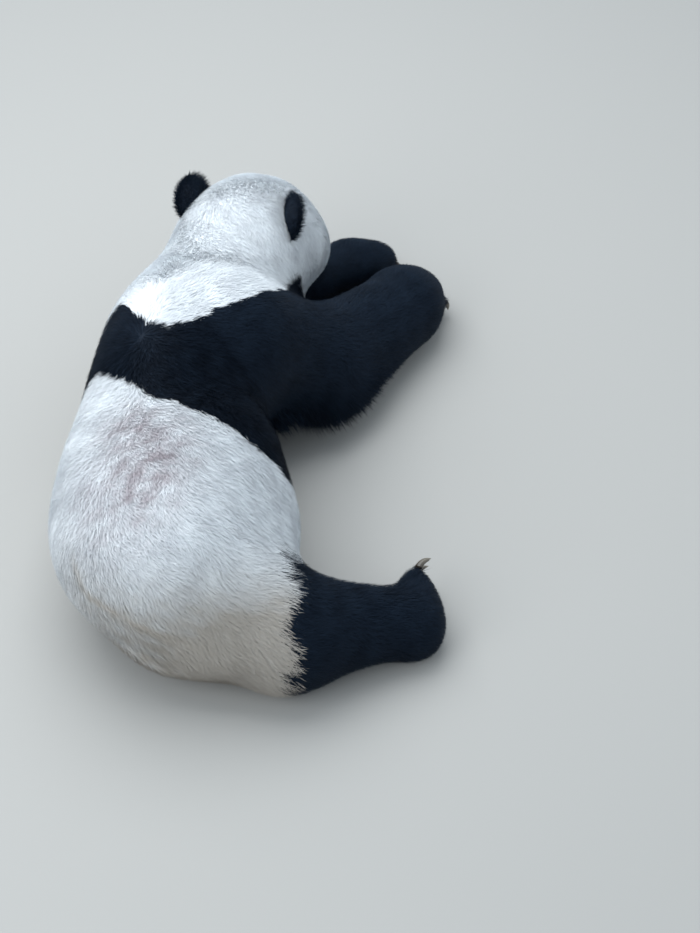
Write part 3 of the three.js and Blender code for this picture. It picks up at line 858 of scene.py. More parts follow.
def ear_shell(side, radius, thin):
    """The bare ear inside its coat: rings over its back, round its rim and in over its front, in its
    own frame, with a point at the middle of each face."""
    turn = np.linspace(0, 2 * np.pi, 48, endpoint=False)
    share = np.array((0.25, 0.5, 0.75, 0.92, 1.0, 1.03, 1.0, 0.92, 0.75, 0.5, 0.25))
    front = np.array((0, 0, 0, 0.06, 0.25, 0.5, 0.75, 0.94, 1, 1, 1))
    depth = -EAR_DISH * (1 - share * share) + thin + front * (EAR_THICKNESS * (1 - share / 2) - 2 * thin)
    rings = np.stack(
        [
            radius * np.outer(share, np.cos(turn)),
            np.repeat(depth[:, None], len(turn), 1),
            EAR_RISE + radius * np.outer(share, np.sin(turn)),
        ],
        -1,
    )
    middles = [(0, -EAR_DISH + thin, EAR_RISE), (0, EAR_THICKNESS - EAR_DISH - thin, EAR_RISE)]
    points = np.concatenate([rings.reshape(-1, 3), middles])
    faces = quads_between(*rings.shape[:2], closed=True)
    count = rings.shape[0] * rings.shape[1]
    first = np.arange(len(turn))
    last = count - len(turn) + first
    start = np.stack([np.roll(first, -1), first, np.full(len(turn), count)], 1)
    end = np.stack([last, np.roll(last, -1), np.full(len(turn), count + 1)], 1)
    triangles = np.concatenate([start, end, triangles_of(faces)])
    return EARS[side].out(points), triangles


def quads_between(rings, around, closed=True):
    """Quads between neighbouring rings of points, round each ring."""
    ring = np.arange(rings - 1)[:, None] * around
    step = np.arange(around if closed else around - 1)[None, :]
    following = (step + 1) % around
    quads = np.stack([ring + step, ring + following, ring + around + following, ring + around + step], -1)
    return quads.reshape(-1, 4)


def triangles_of(quads):
    return np.concatenate([quads[:, [0, 1, 2]], quads[:, [0, 2, 3]]])


def part_labels(made):
    """The number of the part that each point belongs to: the one whose own form is nearest."""
    names = [name for name in PARTS if not name.startswith("ear")]
    share = np.stack([made[name] for name in names], 1)
    return np.array([PARTS.index(name) for name in names])[share.argmin(1)]


def skin_field(p):
    """The distance to the skin: the body's, moved in by the coat's depth, let in for each eye and
    drawn in along the mouth, and never below the floor."""
    made = forms(p)
    q = mirrored(HEAD.into(p))
    near_head = np.exp(-((np.maximum(np.linalg.norm(q, axis=1) - 0.2, 0) / 0.1) ** 2))
    surface = body_above(made) + coat_depth(p) + MOUTH_DEPTH * lip_line(q, 0.004) * near_head
    eye = np.linalg.norm(q - EYE_PLACE, axis=1)
    surface = surface + EYE_HOLLOW * np.exp(-((eye / 0.030) ** 2))
    surface = np.maximum(surface, SOCKET_RADIUS - eye)
    return np.maximum(surface, SKIN_LIFT - p[:, 2])


def lip_line(q, width):
    """1 along the mouth in the head's frame: a bell of the height off a parabola that rises
    outward, kept to the front of the muzzle."""
    smile = MOUTH_HEIGHT + MOUTH_RISE * (q[:, 0] / 0.05) ** 2
    line = np.exp(-(((q[:, 2] - smile) / width) ** 2))
    line *= step_between(q[:, 1], 0.115, 0.135) * step_between(-q[:, 0], -0.06, -0.04)
    return line


MOUTH_HEIGHT = -0.078
MOUTH_RISE = 0.018
MOUTH_DEPTH = 0.006
EYE_HOLLOW = 0.004
SKIN_LIFT = 0.004
EYE_RADIUS = 0.012
EYE_AROUND = 64
EYE_DOWN = 48
SOCKET_RADIUS = 0.0128


def eye_place():
    """The right eye's middle in the head's frame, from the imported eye."""
    low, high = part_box("eye_right")
    return HEAD.into((np.array(low) + np.array(high)) / 2)


EYE_PLACE = eye_place()
EYE_GAZE = np.array((0.42, 0.88, 0.22)) / np.linalg.norm((0.42, 0.88, 0.22))
EYE_PATCH = Place(tuple(EYE_PLACE + (0.010, -0.002, -0.011)), 0, 0, 38)
EYE_PATCH_RADII = (0.029, 0.060, 0.041)


def coat_marks(p, made):
    """The marks that skin and coat share at given points: how black, how soiled with painted shade mixed
    in, and how stained.
    """
    return {"dark": blackness(p, made), "soil_and_shade": soil_and_shade_share(p), "stain": stain(p)}


class PANDA_OT_skin(bpy.types.Operator):
    """Build the one skin inside the coat, from the smooth union of every form of the body"""

    bl_idname = "panda.skin"
    bl_label = "Skin"

    def execute(self, context):
        coarse, fine = ((0.0085, 0.0048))
        low, high = (np.array(corner) for corner in CAD_BOX)
        xs = graded(low[0] - 0.02, high[0] + 0.02, coarse, -0.05, 0.30, fine)
        ys = graded(low[1] - 0.02, high[1] + 0.02, coarse, 0.32, 0.66, fine)
        zs = graded(-0.012, high[2] + 0.02, coarse, 0.06, 0.46, coarse * 0.8)
        points, quads = net_of(skin_field, xs, ys, zs)
        for _ in range(2):
            points -= slope(skin_field, points) * skin_field(points)[:, None]
        triangles = triangles_of(quads)
        made = forms(points)
        labels = part_labels(forms(points[triangles].mean(1)))
        marks = coat_marks(points, made)
        marks["bare"] = bareness(points)
        for side in SIDES:
            shell, shell_triangles = ear_shell(side, EAR_RADIUS - EAR_COAT, EAR_INSET)
            triangles = np.concatenate([triangles, shell_triangles + len(points)])
            labels = np.append(labels, np.full(len(shell_triangles), PARTS.index(f"ear_{side}")))
            points = np.concatenate([points, shell])
            for key in marks:
                marks[key] = np.append(marks[key], np.full(len(shell), 1.0 if key == "dark" else 0.0))
        marks["tone"] = np.full(len(points), 0.5)
        # The skin takes the painted root shade, as if deep under the coat
        marks["root"] = np.full(len(points), 0.6)
        skin = mesh_object("skin", points, triangles, attributes=marks)
        set_uv(skin, corner_unwrap(points, triangles, labels))
        layer = skin.data.attributes.new("part", "INT", "FACE")
        layer.data.foreach_set("value", labels.astype(np.int32))
        finished(skin, skin_material(), FLESH)
        return {"FINISHED"}


FLESH = ["head", "neck", "trunk", "tail", "ear_left", "ear_right", *LEG_FORMS, *PAWS]


NOSE = Place((0, 0.225, -0.026), 0, -12, within=HEAD)
BARE_ROUND_NOSE = (0.031, 0.021, 0.022)


def bareness(p):
    """Where the skin shows with no coat: the lips' edges, the rims of the eyes and round the nose."""
    q = mirrored(HEAD.into(p))
    lip = lip_line(q, 0.006)
    eye = np.linalg.norm(q - EYE_PLACE, axis=1)
    rim = step_between(-eye, -0.020, -0.016)
    nose = np.linalg.norm(NOSE.into(p) / BARE_ROUND_NOSE, axis=1)
    return np.clip(np.max([lip, rim, step_between(-nose, -1.12, -1.0)], 0), 0, 1)


# ---------------------------------------------------------------- the coat

# The most tufts, of four triangles each, in one piece of the coat
TUFTS_IN_A_PIECE = 48000
TUFT_FACES = np.array([(0, 1, 3), (1, 2, 3), (2, 0, 3), (0, 2, 1)])
PATCH = 0.0015 * np.array([(-0.9, -1), (0, -0.6), (0.9, -1), (0, 1)])
TUFTS_PER_AREA = {
    "trunk": 1.0,
    "neck": 1.0,
    "head": 1.5,
    "tail": 1.0,
    "foreleg_right": 1.0,
    "foreleg_left": 0.8,
    "hindleg_right": 0.95,
    "hindleg_left": 0.7,
    "ear_left": 3.0,
    "ear_right": 3.0,
}


def hair_length(p, label):
    """How long the coat is at points of a part: shortest on muzzle and paws, long at the elbow."""
    coat = bpy.context.scene.panda_coat
    name = PARTS[label]
    if name.startswith("ear"):
        return np.full(len(p), coat.ear_length)
    length = np.full(len(p), coat.leg_length if "leg" in name else coat.body_length)
    length += (coat.head_length - length) * crown_share(p)
    face = face_share(p)
    length += (coat.face_length - length) * face
    length -= 0.4 * coat.face_length * face * step_between(HEAD.into(p)[:, 1], 0.13, 0.2)
    paws = np.clip(1.5 * paw_share(p), 0, 1)
    length += (coat.paw_length - length) * paws
    return length + coat.fringe_length * fringe(p)


# The hind edge of the right foreleg, where the coat hangs long, and the way it hangs
FRINGE_START = np.array((0.198, 0.040, 0.110))
FRINGE_END = np.array((0.450, 0.235, 0.085))
FRINGE_WAY = np.array((0.35, -0.9, -0.25))
FRINGE_REACH = 0.062


def fringe(p):
    """1 at the right armpit, falling to a third along the foreleg's hind edge and to 0 off it."""
    along = FRINGE_END - FRINGE_START
    share = np.clip((p - FRINGE_START) @ along / (along @ along), 0, 1)
    away = np.linalg.norm(p - (FRINGE_START + share[:, None] * along), axis=1)
    return np.exp(-((away / FRINGE_REACH) ** 2)) * (1 - 0.67 * share)


def lock_middles(p, size):
    """The middle of the lock that each point falls in: a lattice cell, bent by slow waves, with its
    middle moved at random by the fraction of a large sine."""
    bent = p + 0.35 * size * np.stack([ripple(p, 4 * size, 61 + axis, 3) for axis in range(3)], 1)
    cell = np.floor(bent / size)
    mix = np.array([(12.99, 39.35, 73.16), (78.23, 11.14, 52.24), (37.72, 83.16, 9.15)])
    chance = np.sin(cell @ mix) * 43758.5
    chance -= np.floor(chance)
    return p - bent + (cell + 0.15 + 0.7 * chance) * size, chance[:, 0]


def roots_on(points, triangles, labels, count, seed):
    """Points spread over a mesh, as many on each triangle as its area and its part's share call for,
    each at random within its triangle. Gives the roots, their triangles' normals and the triangles."""
    rng = np.random.default_rng(seed)
    corners = points[triangles]
    normal = np.cross(corners[:, 1] - corners[:, 0], corners[:, 2] - corners[:, 0])
    area = np.linalg.norm(normal, axis=1) / 2
    middle = corners.mean(1)
    weight = area * np.array([TUFTS_PER_AREA[name] for name in PARTS])[labels]
    weight = weight * (1 + 2.2 * face_share(middle)) * (1 + 0.8 * np.clip(paw_share(middle), 0, 1))
    weight *= (1 + 1.5 * fringe(middle)) * (1 - 0.97 * bareness(middle))
    weight[(middle[:, 2] < SKIN_LIFT + 0.002) & (normal[:, 2] < 0)] *= 0.04
    bounds = np.cumsum(weight / weight.sum())
    picks = (np.arange(count) + rng.uniform(0, 1, count)) / count
    chosen = np.minimum(np.searchsorted(bounds, picks), len(triangles) - 1)
    a, b = rng.uniform(0, 1, (2, count))
    fold = a + b > 1
    a, b = np.where(fold, 1 - a, a), np.where(fold, 1 - b, b)
    c = corners[chosen]
    roots = c[:, 0] + a[:, None] * (c[:, 1] - c[:, 0]) + b[:, None] * (c[:, 2] - c[:, 0])
    facing = normal[chosen] / np.maximum(2 * area[chosen, None], 1e-12)
    return roots, facing, chosen


def tuft_mesh(name, tufts, chosen):
    """Closed spikes as one mesh: each has a base of three points and its tip. The shading of its
    upper faces leans from one edge to the other, so that each reads as a round strand, and
    its under faces are flat."""
    keys = ("root", "tip", "across", "up", "normal")
    root, tip, across, up, normal = (tufts[key][chosen] for key in keys)
    wide, high = (tufts[key][chosen][:, None] for key in ("half_width", "height"))
    points = np.stack([root - across * wide, root + up * high, root + across * wide, tip], 1)
    lean = np.stack([normal - STRAND_ROUND * across, normal, normal + STRAND_ROUND * across, normal], 1)
    lean /= np.linalg.norm(lean, axis=2)[:, :, None]
    count = len(chosen)
    faces = (np.arange(count)[:, None, None] * 4 + TUFT_FACES).reshape(-1, 3)
    spread = {key: np.repeat(value[chosen], 4) for key, value in tufts["marks"].items()}
    # 1 at the base, falling to 0 at the tip: how much painted root shade each point takes
    spread["root"] = np.tile((1.0, 0.9, 1.0, 0.0), count)
    piece = mesh_object(name, points.reshape(-1, 3), faces, attributes=spread)
    layer = piece.data.attributes.new("custom_normal", "FLOAT_VECTOR", "POINT")
    layer.data.foreach_set("vector", np.ascontiguousarray(lean, np.float32).ravel())
    layer = piece.data.attributes.new("sharp_face", "BOOLEAN", "FACE")
    layer.data.foreach_set("value", np.tile((False, False, True, True), count))
    set_uv(piece, (tufts["uv"][chosen][:, None, :] + PATCH)[:, TUFT_FACES.ravel()])
    return piece


def projected(p, level, normal, turns=2):
    """Points moved along given directions until they lie at given levels of the body's distance."""
    for _ in range(turns):
        p = p - normal * (body(p) - level)[:, None]
    return p


TIP_LIFT = 0.0006
ROOT_SINK = 0.001
SHOWN_SHARE = 0.6
STRAND_ROUND = 0.55
HEIGHT_TO_WIDTH = 0.2
STRAYS_ABOVE = 0.96
STRAY_RISE = 0.0025
CREASE_DEPTH = 0.011


class PANDA_OT_coat(bpy.types.Operator):
    """Cover the skin with closed tufts that lie along the coat's flow, out to the body's outline"""

    bl_idname = "panda.coat"
    bl_label = "Coat"

    def execute(self, context):
        coat = context.scene.panda_coat
        skin = bpy.data.objects["skin"].data
        points = np.empty(len(skin.vertices) * 3, np.float32)
        skin.vertices.foreach_get("co", points)
        points = points.reshape(-1, 3).astype(float)
        triangles = np.empty(len(skin.loops), np.int32)
        skin.loops.foreach_get("vertex_index", triangles)
        triangles = triangles.reshape(-1, 3)
        labels = np.empty(len(triangles), np.int32)
        skin.attributes["part"].data.foreach_get("value", labels)
        count = coat.tufts
        roots, facing, chosen = roots_on(points, triangles, labels, count, coat.seed)
        root_labels = labels[chosen]
        finishes = {
            "black": fur_material("black_coat", 0.5, 0.05, 0.012),
            "white": fur_material("white_coat", 0.8, 0.1, 0.0),
        }
        for label, part in enumerate(PARTS):
            own = root_labels == label
            if not own.any():
                continue
            tufts = self.tufts_of(part, label, roots[own], facing[own], coat)
            black = tufts["marks"]["dark"] > 0.5
            for colour, share in (("black", black), ("white", ~black)):
                self.pieces_of(part, colour, share, tufts, finishes[colour])
        return {"FINISHED"}

    def tufts_of(self, part, label, root, facing, coat):
        """Each tuft's places, sizes and marks, for one part."""
        rng = np.random.default_rng(coat.seed + 7 * label + 1)
        random = rng.uniform(0, 1, (7, len(root)))
        made = forms(root)
        length = hair_length(root, label)
        if part.startswith("ear"):
            normal, flow, tip, length = self.ear_tips(EARS[part[4:]], root, facing, length, random)
        else:
            normal, flow, tip, length = self.body_tips(root, made, length, random, coat)
        across = np.cross(flow, normal)
        width = coat.tuft_width * (0.6 + 0.7 * random[4])
        width *= np.clip(length / coat.body_length, 0.35, 1.15)
        shown = root + SHOWN_SHARE * (tip - root)
        marks = coat_marks(shown, forms(shown))
        if part.startswith("ear"):
            marks["dark"] = np.ones(len(root))
        marks["dark"] = np.where(marks["dark"] > 0.15 + 0.7 * random[6], 1.0, 0.0)
        _, lock = lock_middles(root, 2.2 * coat.lock_size)
        tone = 0.55 * random[5] + 0.3 * lock + 0.10 + 0.22 * ripple(root, 0.06, 51)
        # Black tufts on the legs are made lighter, a painted sheen where they catch more light; elsewhere
        # the black tufts are darker
        tone += marks["dark"] * (0.22 if "leg" in part else -0.2)
        marks["tone"] = np.clip(tone, 0, 1)
        tip[:, 2] = np.maximum(tip[:, 2], TIP_LIFT)
        u, v = unwrapped(root, part)
        return {
            "root": root - normal * ROOT_SINK,
            "tip": tip,
            "across": across,
            "up": np.cross(across, flow),
            "normal": unit(normal + 0.30 * (random[:3].T - 0.5) + 0.12 * flow),
            "half_width": width / 2,
            "height": width * HEIGHT_TO_WIDTH,
            "marks": marks,
            "uv": in_cell(u, v, part),
        }

    def ear_tips(self, place, root, facing, length, random):
        """On an ear the coat runs from its foot to its rim and out over it."""
        q = place.into(root) - np.array((0, 0, EAR_RISE))
        reach = np.hypot(q[:, 0], q[:, 2])[:, None]
        outward = q * (1, 0, 1) / np.maximum(reach, 1e-4) @ place.turn.T
        spread = 0.4 + 0.6 * np.clip(reach / 0.035, 0, 1)
        flow = laid(outward * spread + place.turn[:, 2] * 0.3 + (random[:3].T - 0.5) * 0.7, facing)
        length = length * (0.65 + 0.5 * random[0])
        rise = (0.45 + 0.35 * random[1])[:, None]
        return facing, flow, root + (flow + facing * rise) * length[:, None], length

    def body_tips(self, root, made, length, random, coat):
        """On the body each tip lies at the coat's outline or a little inside it, drawn to the middle
        of its lock, and a few stray tips stand past it."""
        normal = slope(body, root, 0.002)
        hang = fringe(root)
        flow = coat_flow(root, made, normal) + hang[:, None] * FRINGE_WAY
        flow = laid(flow + (random[:3].T - 0.5) * coat.tangle, normal)
        length = length * (0.6 + 0.65 * random[0])
        depth = np.clip(-body(root, made), 0.003, 0.03)
        level = -depth * 0.28 * random[1] ** 1.5
        level += np.where(random[6] > STRAYS_ABOVE, STRAY_RISE, 0.0) - CREASE_DEPTH * crease(root)
        tip = root + flow * length[:, None]
        middle, _ = lock_middles(tip, coat.lock_size)
        tip += flattened(middle - tip, normal) * (0.45 * coat.lock_share)
        tip = projected(tip, level, normal)
        free = np.clip(1.5 * hang, 0, 1)[:, None] * (0.35 + 0.65 * random[3, :, None])
        way = unit(FRINGE_WAY + 0.3 * normal + 0.5 * (random[:3].T - 0.5))
        tip += free * (root + way * length[:, None] - tip)
        return normal, laid(tip - root, normal), tip, length

    def pieces_of(self, part, colour, share, tufts, finish):
        """The tufts of one colour on one part, in as many pieces as their number calls for."""
        chosen = np.flatnonzero(share)
        if not len(chosen):
            return
        axis_start, axis_end, _ = CHART_AXES[part]
        along = tufts["root"][chosen] @ (np.array(axis_end) - np.array(axis_start))
        chosen = chosen[np.argsort(along, kind="stable")]
        groups = np.array_split(chosen, math.ceil(len(chosen) / TUFTS_IN_A_PIECE))
        for number, group in enumerate(groups, 1):
            suffix = f"_{number}" if len(groups) > 1 else ""
            piece = tuft_mesh(f"coat_{colour}_{part}{suffix}", tufts, group)
            finished(piece, finish)


# ---------------------------------------------------------------- eyes, nose, claws


def ball_grid(around, down):
    """Directions on a ball about +Z: rings from the top point to the bottom one."""
    fall = np.linspace(0, np.pi, down + 1)[1:-1]
    turn = np.linspace(0, 2 * np.pi, around, endpoint=False)
    level = np.outer(np.cos(fall), np.ones(around))
    ahead = np.outer(np.sin(fall), np.cos(turn))
    rings = np.stack([ahead, np.outer(np.sin(fall), np.sin(turn)), level], -1)
    return np.concatenate([[(0, 0, 1)], rings.reshape(-1, 3), [(0, 0, -1)]])


def ball_triangles(around, down):
    rings = down - 1
    body_faces = triangles_of(quads_between(rings, around)[:, ::-1]) + 1
    first = np.arange(around)
    top = np.stack([np.zeros(around, int), 1 + first, 1 + (first + 1) % around], 1)
    last = 1 + (rings - 1) * around
    bottom = np.stack([np.full(around, last + around), last + (first + 1) % around, last + first], 1)
    return np.concatenate([top, body_faces, bottom])


def facing_frame(forward, upward=(0, 0, 1)):
    """A turn whose third column is a direction, and whose second is as near to upward as it can be."""
    forward = np.array(forward) / np.linalg.norm(forward)
    side = np.cross(upward, forward)
    side /= np.linalg.norm(side)
    return np.stack([side, np.cross(forward, side), forward], 1)


def ball_uv(directions, triangles):
    """A map of a ball seen along its axis: each half in its own disc."""
    flat = np.arccos(np.clip(directions[:, 2], -1, 1)) / np.pi
    turn = np.arctan2(directions[:, 1], directions[:, 0])
    front = directions[triangles].mean(1)[:, 2] > 0
    reach = np.where(front[:, None], flat[triangles], 1 - flat[triangles]) * 0.44
    centre = np.where(front, 0.25, 0.75)[:, None]
    return np.stack([centre + reach * np.cos(turn[triangles]), 0.5 + reach * np.sin(turn[triangles])], -1)


PUPIL_BLACK = (0.002, 0.002, 0.002, 1)


def eye_material():
    colours = bpy.context.scene.panda_colours
    made, tree, shader = material("eye", Roughness=0.06, Coat_Weight=1.0, Coat_Roughness=0.03, IOR=1.38)
    iris = mixed(tree, noise(tree, 900.0), opaque(colours.iris), opaque(colours.iris_dark))
    white = mixed(tree, attribute(tree, "white"), iris, opaque(colours.eye_white))
    whole = mixed(tree, attribute(tree, "pupil"), white, PUPIL_BLACK)
    tree.links.new(whole, shader.inputs["Base Color"])
    return made


class PANDA_OT_eyes(bpy.types.Operator):
    """Make each eyeball, with its clear bulge, iris and upright pupil, and the lids round it"""

    bl_idname = "panda.eyes"
    bl_label = "Eyes and lids"

    def execute(self, context):
        finish = eye_material()
        lid_finish = bare_material("lid_skin", 0.6)
        for side, sign in SIDES.items():
            mirror = np.array((sign, 1, 1))
            centre = HEAD.out(EYE_PLACE * mirror)
            gaze = HEAD.turn @ (EYE_GAZE * mirror)
            turn = facing_frame(gaze, HEAD.turn[:, 2])
            directions = ball_grid(EYE_AROUND, EYE_DOWN)
            off = np.arccos(np.clip(directions[:, 2], -1, 1))
            radius = EYE_RADIUS * (0.985 + 0.05 * np.exp(-((off / 0.55) ** 2)))
            points = centre + directions * radius[:, None] @ turn.T
            across, above = directions[:, 0], directions[:, 1]
            marks = {
                "pupil": 1 - step_between(np.hypot(across / 0.55, above), 0.20, 0.26),
                "white": step_between(off, 0.72, 0.80),
            }
            triangles = ball_triangles(EYE_AROUND, EYE_DOWN)
            ball = mesh_object(f"eyeball_{side}", points, triangles, attributes=marks)
            set_uv(ball, ball_uv(directions, triangles))
            finished(ball, finish, (f"eye_{side}",))
            lid = self.lids(side, sign, centre, turn)
            finished(lid, lid_finish)
        return {"FINISHED"}

    def lids(self, side, sign, centre, turn):
        """The lids as one ring round the opening: its section is a thin strip on a ball just over the
        eyeball, from the opening's edge, at an angle that is wide across and narrow up and down,
        to beyond the socket's rim."""
        around = np.linspace(0, 2 * np.pi, 96, endpoint=False)
        strip = np.array([0, 0.15, 0.5, 1.0, 1.0, 0.5, 0.15, -0.04])
        raised = np.array([0.0014, 0.0021, 0.0022, 0.0016, 0.0002, 0.0003, 0.0003, 0.0005])
        upper = np.sin(around) > 0
        opening = 0.30 + 0.42 * np.abs(np.cos(around)) ** 1.4
        opening += np.where(upper, -0.02, 0.03) * np.abs(np.sin(around))
        off = opening[:, None] + strip * (1.45 - opening[:, None])
        radius = EYE_RADIUS + raised
        lean = around + 0.18 * sign
        aside = radius * np.sin(off)
        across, up = aside * np.cos(lean)[:, None], aside * np.sin(lean)[:, None]
        points = np.stack([across, up, radius * np.cos(off)], -1)
        quads = ring_quads(*points.shape[:2])
        lid = mesh_object(f"lids_{side}", centre + points.reshape(-1, 3) @ turn.T, quads)
        set_uv(lid, torus_uv(*points.shape[:2]))
        return lid


def ring_quads(rings, around):
    """Quads over a closed ring of closed sections."""
    ring = np.arange(rings)[:, None]
    step = np.arange(around)[None, :]
    next_ring, following = (ring + 1) % rings, (step + 1) % around
    here, there = ring * around, next_ring * around
    return np.stack([here + step, there + step, there + following, here + following], -1).reshape(-1, 4)


def torus_uv(rings, around):
    u = np.arange(rings)[:, None, None] + np.array((0, 1, 1, 0))
    v = np.arange(around)[None, :, None] + np.array((0, 0, 1, 1))
    u, v = np.broadcast_arrays(u, v)
    return np.stack([u / rings, v / around], -1)


def bare_material(name, roughness):
    colours = bpy.context.scene.panda_colours
    made, tree, shader = material(name, Roughness=roughness, Specular_IOR_Level=0.3)
    flecks = mixed(tree, noise(tree, 350.0), opaque(colours.lip), opaque(colours.lip_light))
    tree.links.new(flecks, shader.inputs["Base Color"])
    cells = tree.nodes.new("ShaderNodeTexVoronoi")
    tree.links.new(tree.nodes.new("ShaderNodeTexCoord").outputs["Object"], cells.inputs["Vector"])
    cells.inputs["Scale"].default_value = 900.0
    bumped(tree, shader, cells.outputs["Distance"], 0.5, 0.0006)
    return made


NOSE_RADII = np.array((0.027, 0.015, 0.019))
NOSE_AROUND = 112
NOSE_DOWN = 80


class PANDA_OT_nose(bpy.types.Operator):
    """Make the nose pad, with its nostrils and the groove between them"""

    bl_idname = "panda.nose"
    bl_label = "Nose"

    def execute(self, context):
        directions = ball_grid(NOSE_AROUND, NOSE_DOWN)
        q = directions[:, [0, 2, 1]]
        x, z = q[:, 0], q[:, 2]
        front = step_between(q[:, 1], 0.0, 0.35)
        aside = np.abs(x) - 0.46
        nostril = np.exp(-((aside / 0.17) ** 2) - (((z + 0.02 + 0.25 * aside) / 0.20) ** 2))
        slit = np.exp(-(((np.abs(x) - 0.68) / 0.16) ** 2) - (((z + 0.10) / 0.09) ** 2))
        groove = np.exp(-((x / 0.06) ** 2)) * step_between(-z, -0.35, 0.1)
        top = np.exp(-(((z - 0.62) / 0.25) ** 2)) * 0.05
        inward = front * (0.42 * nostril + 0.26 * slit + 0.10 * groove) - top
        points = q * NOSE_RADII * (1 - inward[:, None] * (0.5, 1.0, 0.5))
        triangles = ball_triangles(NOSE_AROUND, NOSE_DOWN)[:, ::-1]
        nose = mesh_object("nose_pad", NOSE.out(points), triangles)
        set_uv(nose, ball_uv(directions, triangles))
        finished(nose, bare_material("nose_skin", 0.38), ("nose",))
        return {"FINISHED"}


CLAW_LENGTH = 0.034
CLAW_RADIUS = 0.0055
CLAW_BEND = 1.1
CLAW_CELL = np.array((0.2, 1.0))
TOE_FAN = 7


def claw_place(name, n):
    across = n - (TOES - 1) / 2
    toe = Place(toe_centre(name, n), TOE_FAN * across, within=PAWS[name][0])
    return Place((0, TOE_SHARES[1] * PAWS[name][1][1] * 0.45, 0), 0, -28, within=toe)


def claw_points(place, rings=26, around=20):
    """A claw: rings that shrink along an arc bent down, taller than wide, with a keel along its top."""
    t = np.linspace(0, 1, rings)[:, None]
    turn = np.linspace(0, 2 * np.pi, around, endpoint=False)[None, :]
    radius = CLAW_RADIUS * (1 - 0.82 * t**1.8) * (1 - t**9) + 0.00015
    side = radius * np.cos(turn) * (1 - 0.18 * np.sin(turn))
    rise = 1.3 * radius * np.sin(turn)
    bend = CLAW_BEND * t
    y = CLAW_LENGTH * np.sin(bend) / CLAW_BEND + rise * np.sin(bend)
    z = -CLAW_LENGTH * (1 - np.cos(bend)) / CLAW_BEND + rise * np.cos(bend)
    points = np.stack(np.broadcast_arrays(side, y, z), -1).reshape(-1, 3)
    arc_radius = CLAW_LENGTH / CLAW_BEND
    tip_end = (0, arc_radius * np.sin(CLAW_BEND), -arc_radius * (1 - np.cos(CLAW_BEND)))
    ends = [(0, -0.001, 0), tip_end]
    made = place.out(np.concatenate([points, ends]))
    made[:, 2] = np.maximum(made[:, 2], 0.0003)
    count = rings * around
    first = np.arange(around)
    start = np.stack([first, np.roll(first, -1), np.full(around, count)], 1)[:, ::-1]
    last = count - around + first
    end = np.stack([last, np.roll(last, -1), np.full(around, count + 1)], 1)
    triangles = np.concatenate([start, end, triangles_of(quads_between(rings, around))])
    tip = np.append(np.repeat(t.ravel(), around), (0.0, 1.0))
    corner_turn = np.append(np.tile(first, rings), (0, 0))[triangles] / around
    wraps = (corner_turn.max(1) - corner_turn.min(1) > 0.5)[:, None] & (corner_turn < 0.5)
    corner_turn = corner_turn + wraps
    at_end = triangles >= count
    corner_turn[at_end] = corner_turn[np.roll(at_end, 1, 1)]
    along = 0.1 + 0.8 * np.append(np.repeat(t.ravel(), around), (-0.05, 1.05))[triangles]
    return made, triangles, tip, np.stack([along, 0.02 + 0.9 * corner_turn], -1)


class PANDA_OT_claws(bpy.types.Operator):
    """Make the five claws of each paw"""

    bl_idname = "panda.claws"
    bl_label = "Claws"

    def execute(self, context):
        colours = context.scene.panda_colours
        finish, tree, shader = material("claw_horn", Roughness=0.32, Specular_IOR_Level=0.5)
        streak = mixed(tree, noise(tree, 200.0, 4.0), opaque(colours.claw_dark), opaque(colours.claw))
        whole = mixed(tree, attribute(tree, "tip"), streak, opaque(colours.claw_tip))
        tree.links.new(whole, shader.inputs["Base Color"])
        bumped(tree, shader, noise(tree, 500.0, 3.0), 0.3, 0.0005)
        for name in PAWS:
            made = [claw_points(claw_place(name, n)) for n in range(TOES)]
            count = len(made[0][0])
            points = np.concatenate([claw[0] for claw in made])
            triangles = np.concatenate([claw[1] + n * count for n, claw in enumerate(made)])
            tips = np.concatenate([claw[2] for claw in made])
            claws = mesh_object(f"claws_{name}", points, triangles, attributes={"tip": tips})
            cells = [claw[3] * CLAW_CELL + (n * CLAW_CELL[0], 0) for n, claw in enumerate(made)]
            set_uv(claws, np.concatenate(cells))
            finished(claws, finish, [f"claw_{name}_{n + 1}" for n in range(TOES)])
        return {"FINISHED"}


# ---------------------------------------------------------------- the stage

CAMERA_PLACE = (0.3445, -3.3737, 3.3259)
CAMERA_FALL = 45.5
CAMERA_LENS = 84.887
FLOOR_REACH = 9
LIGHT_AIM = (0.12, 0.0, 0.2)


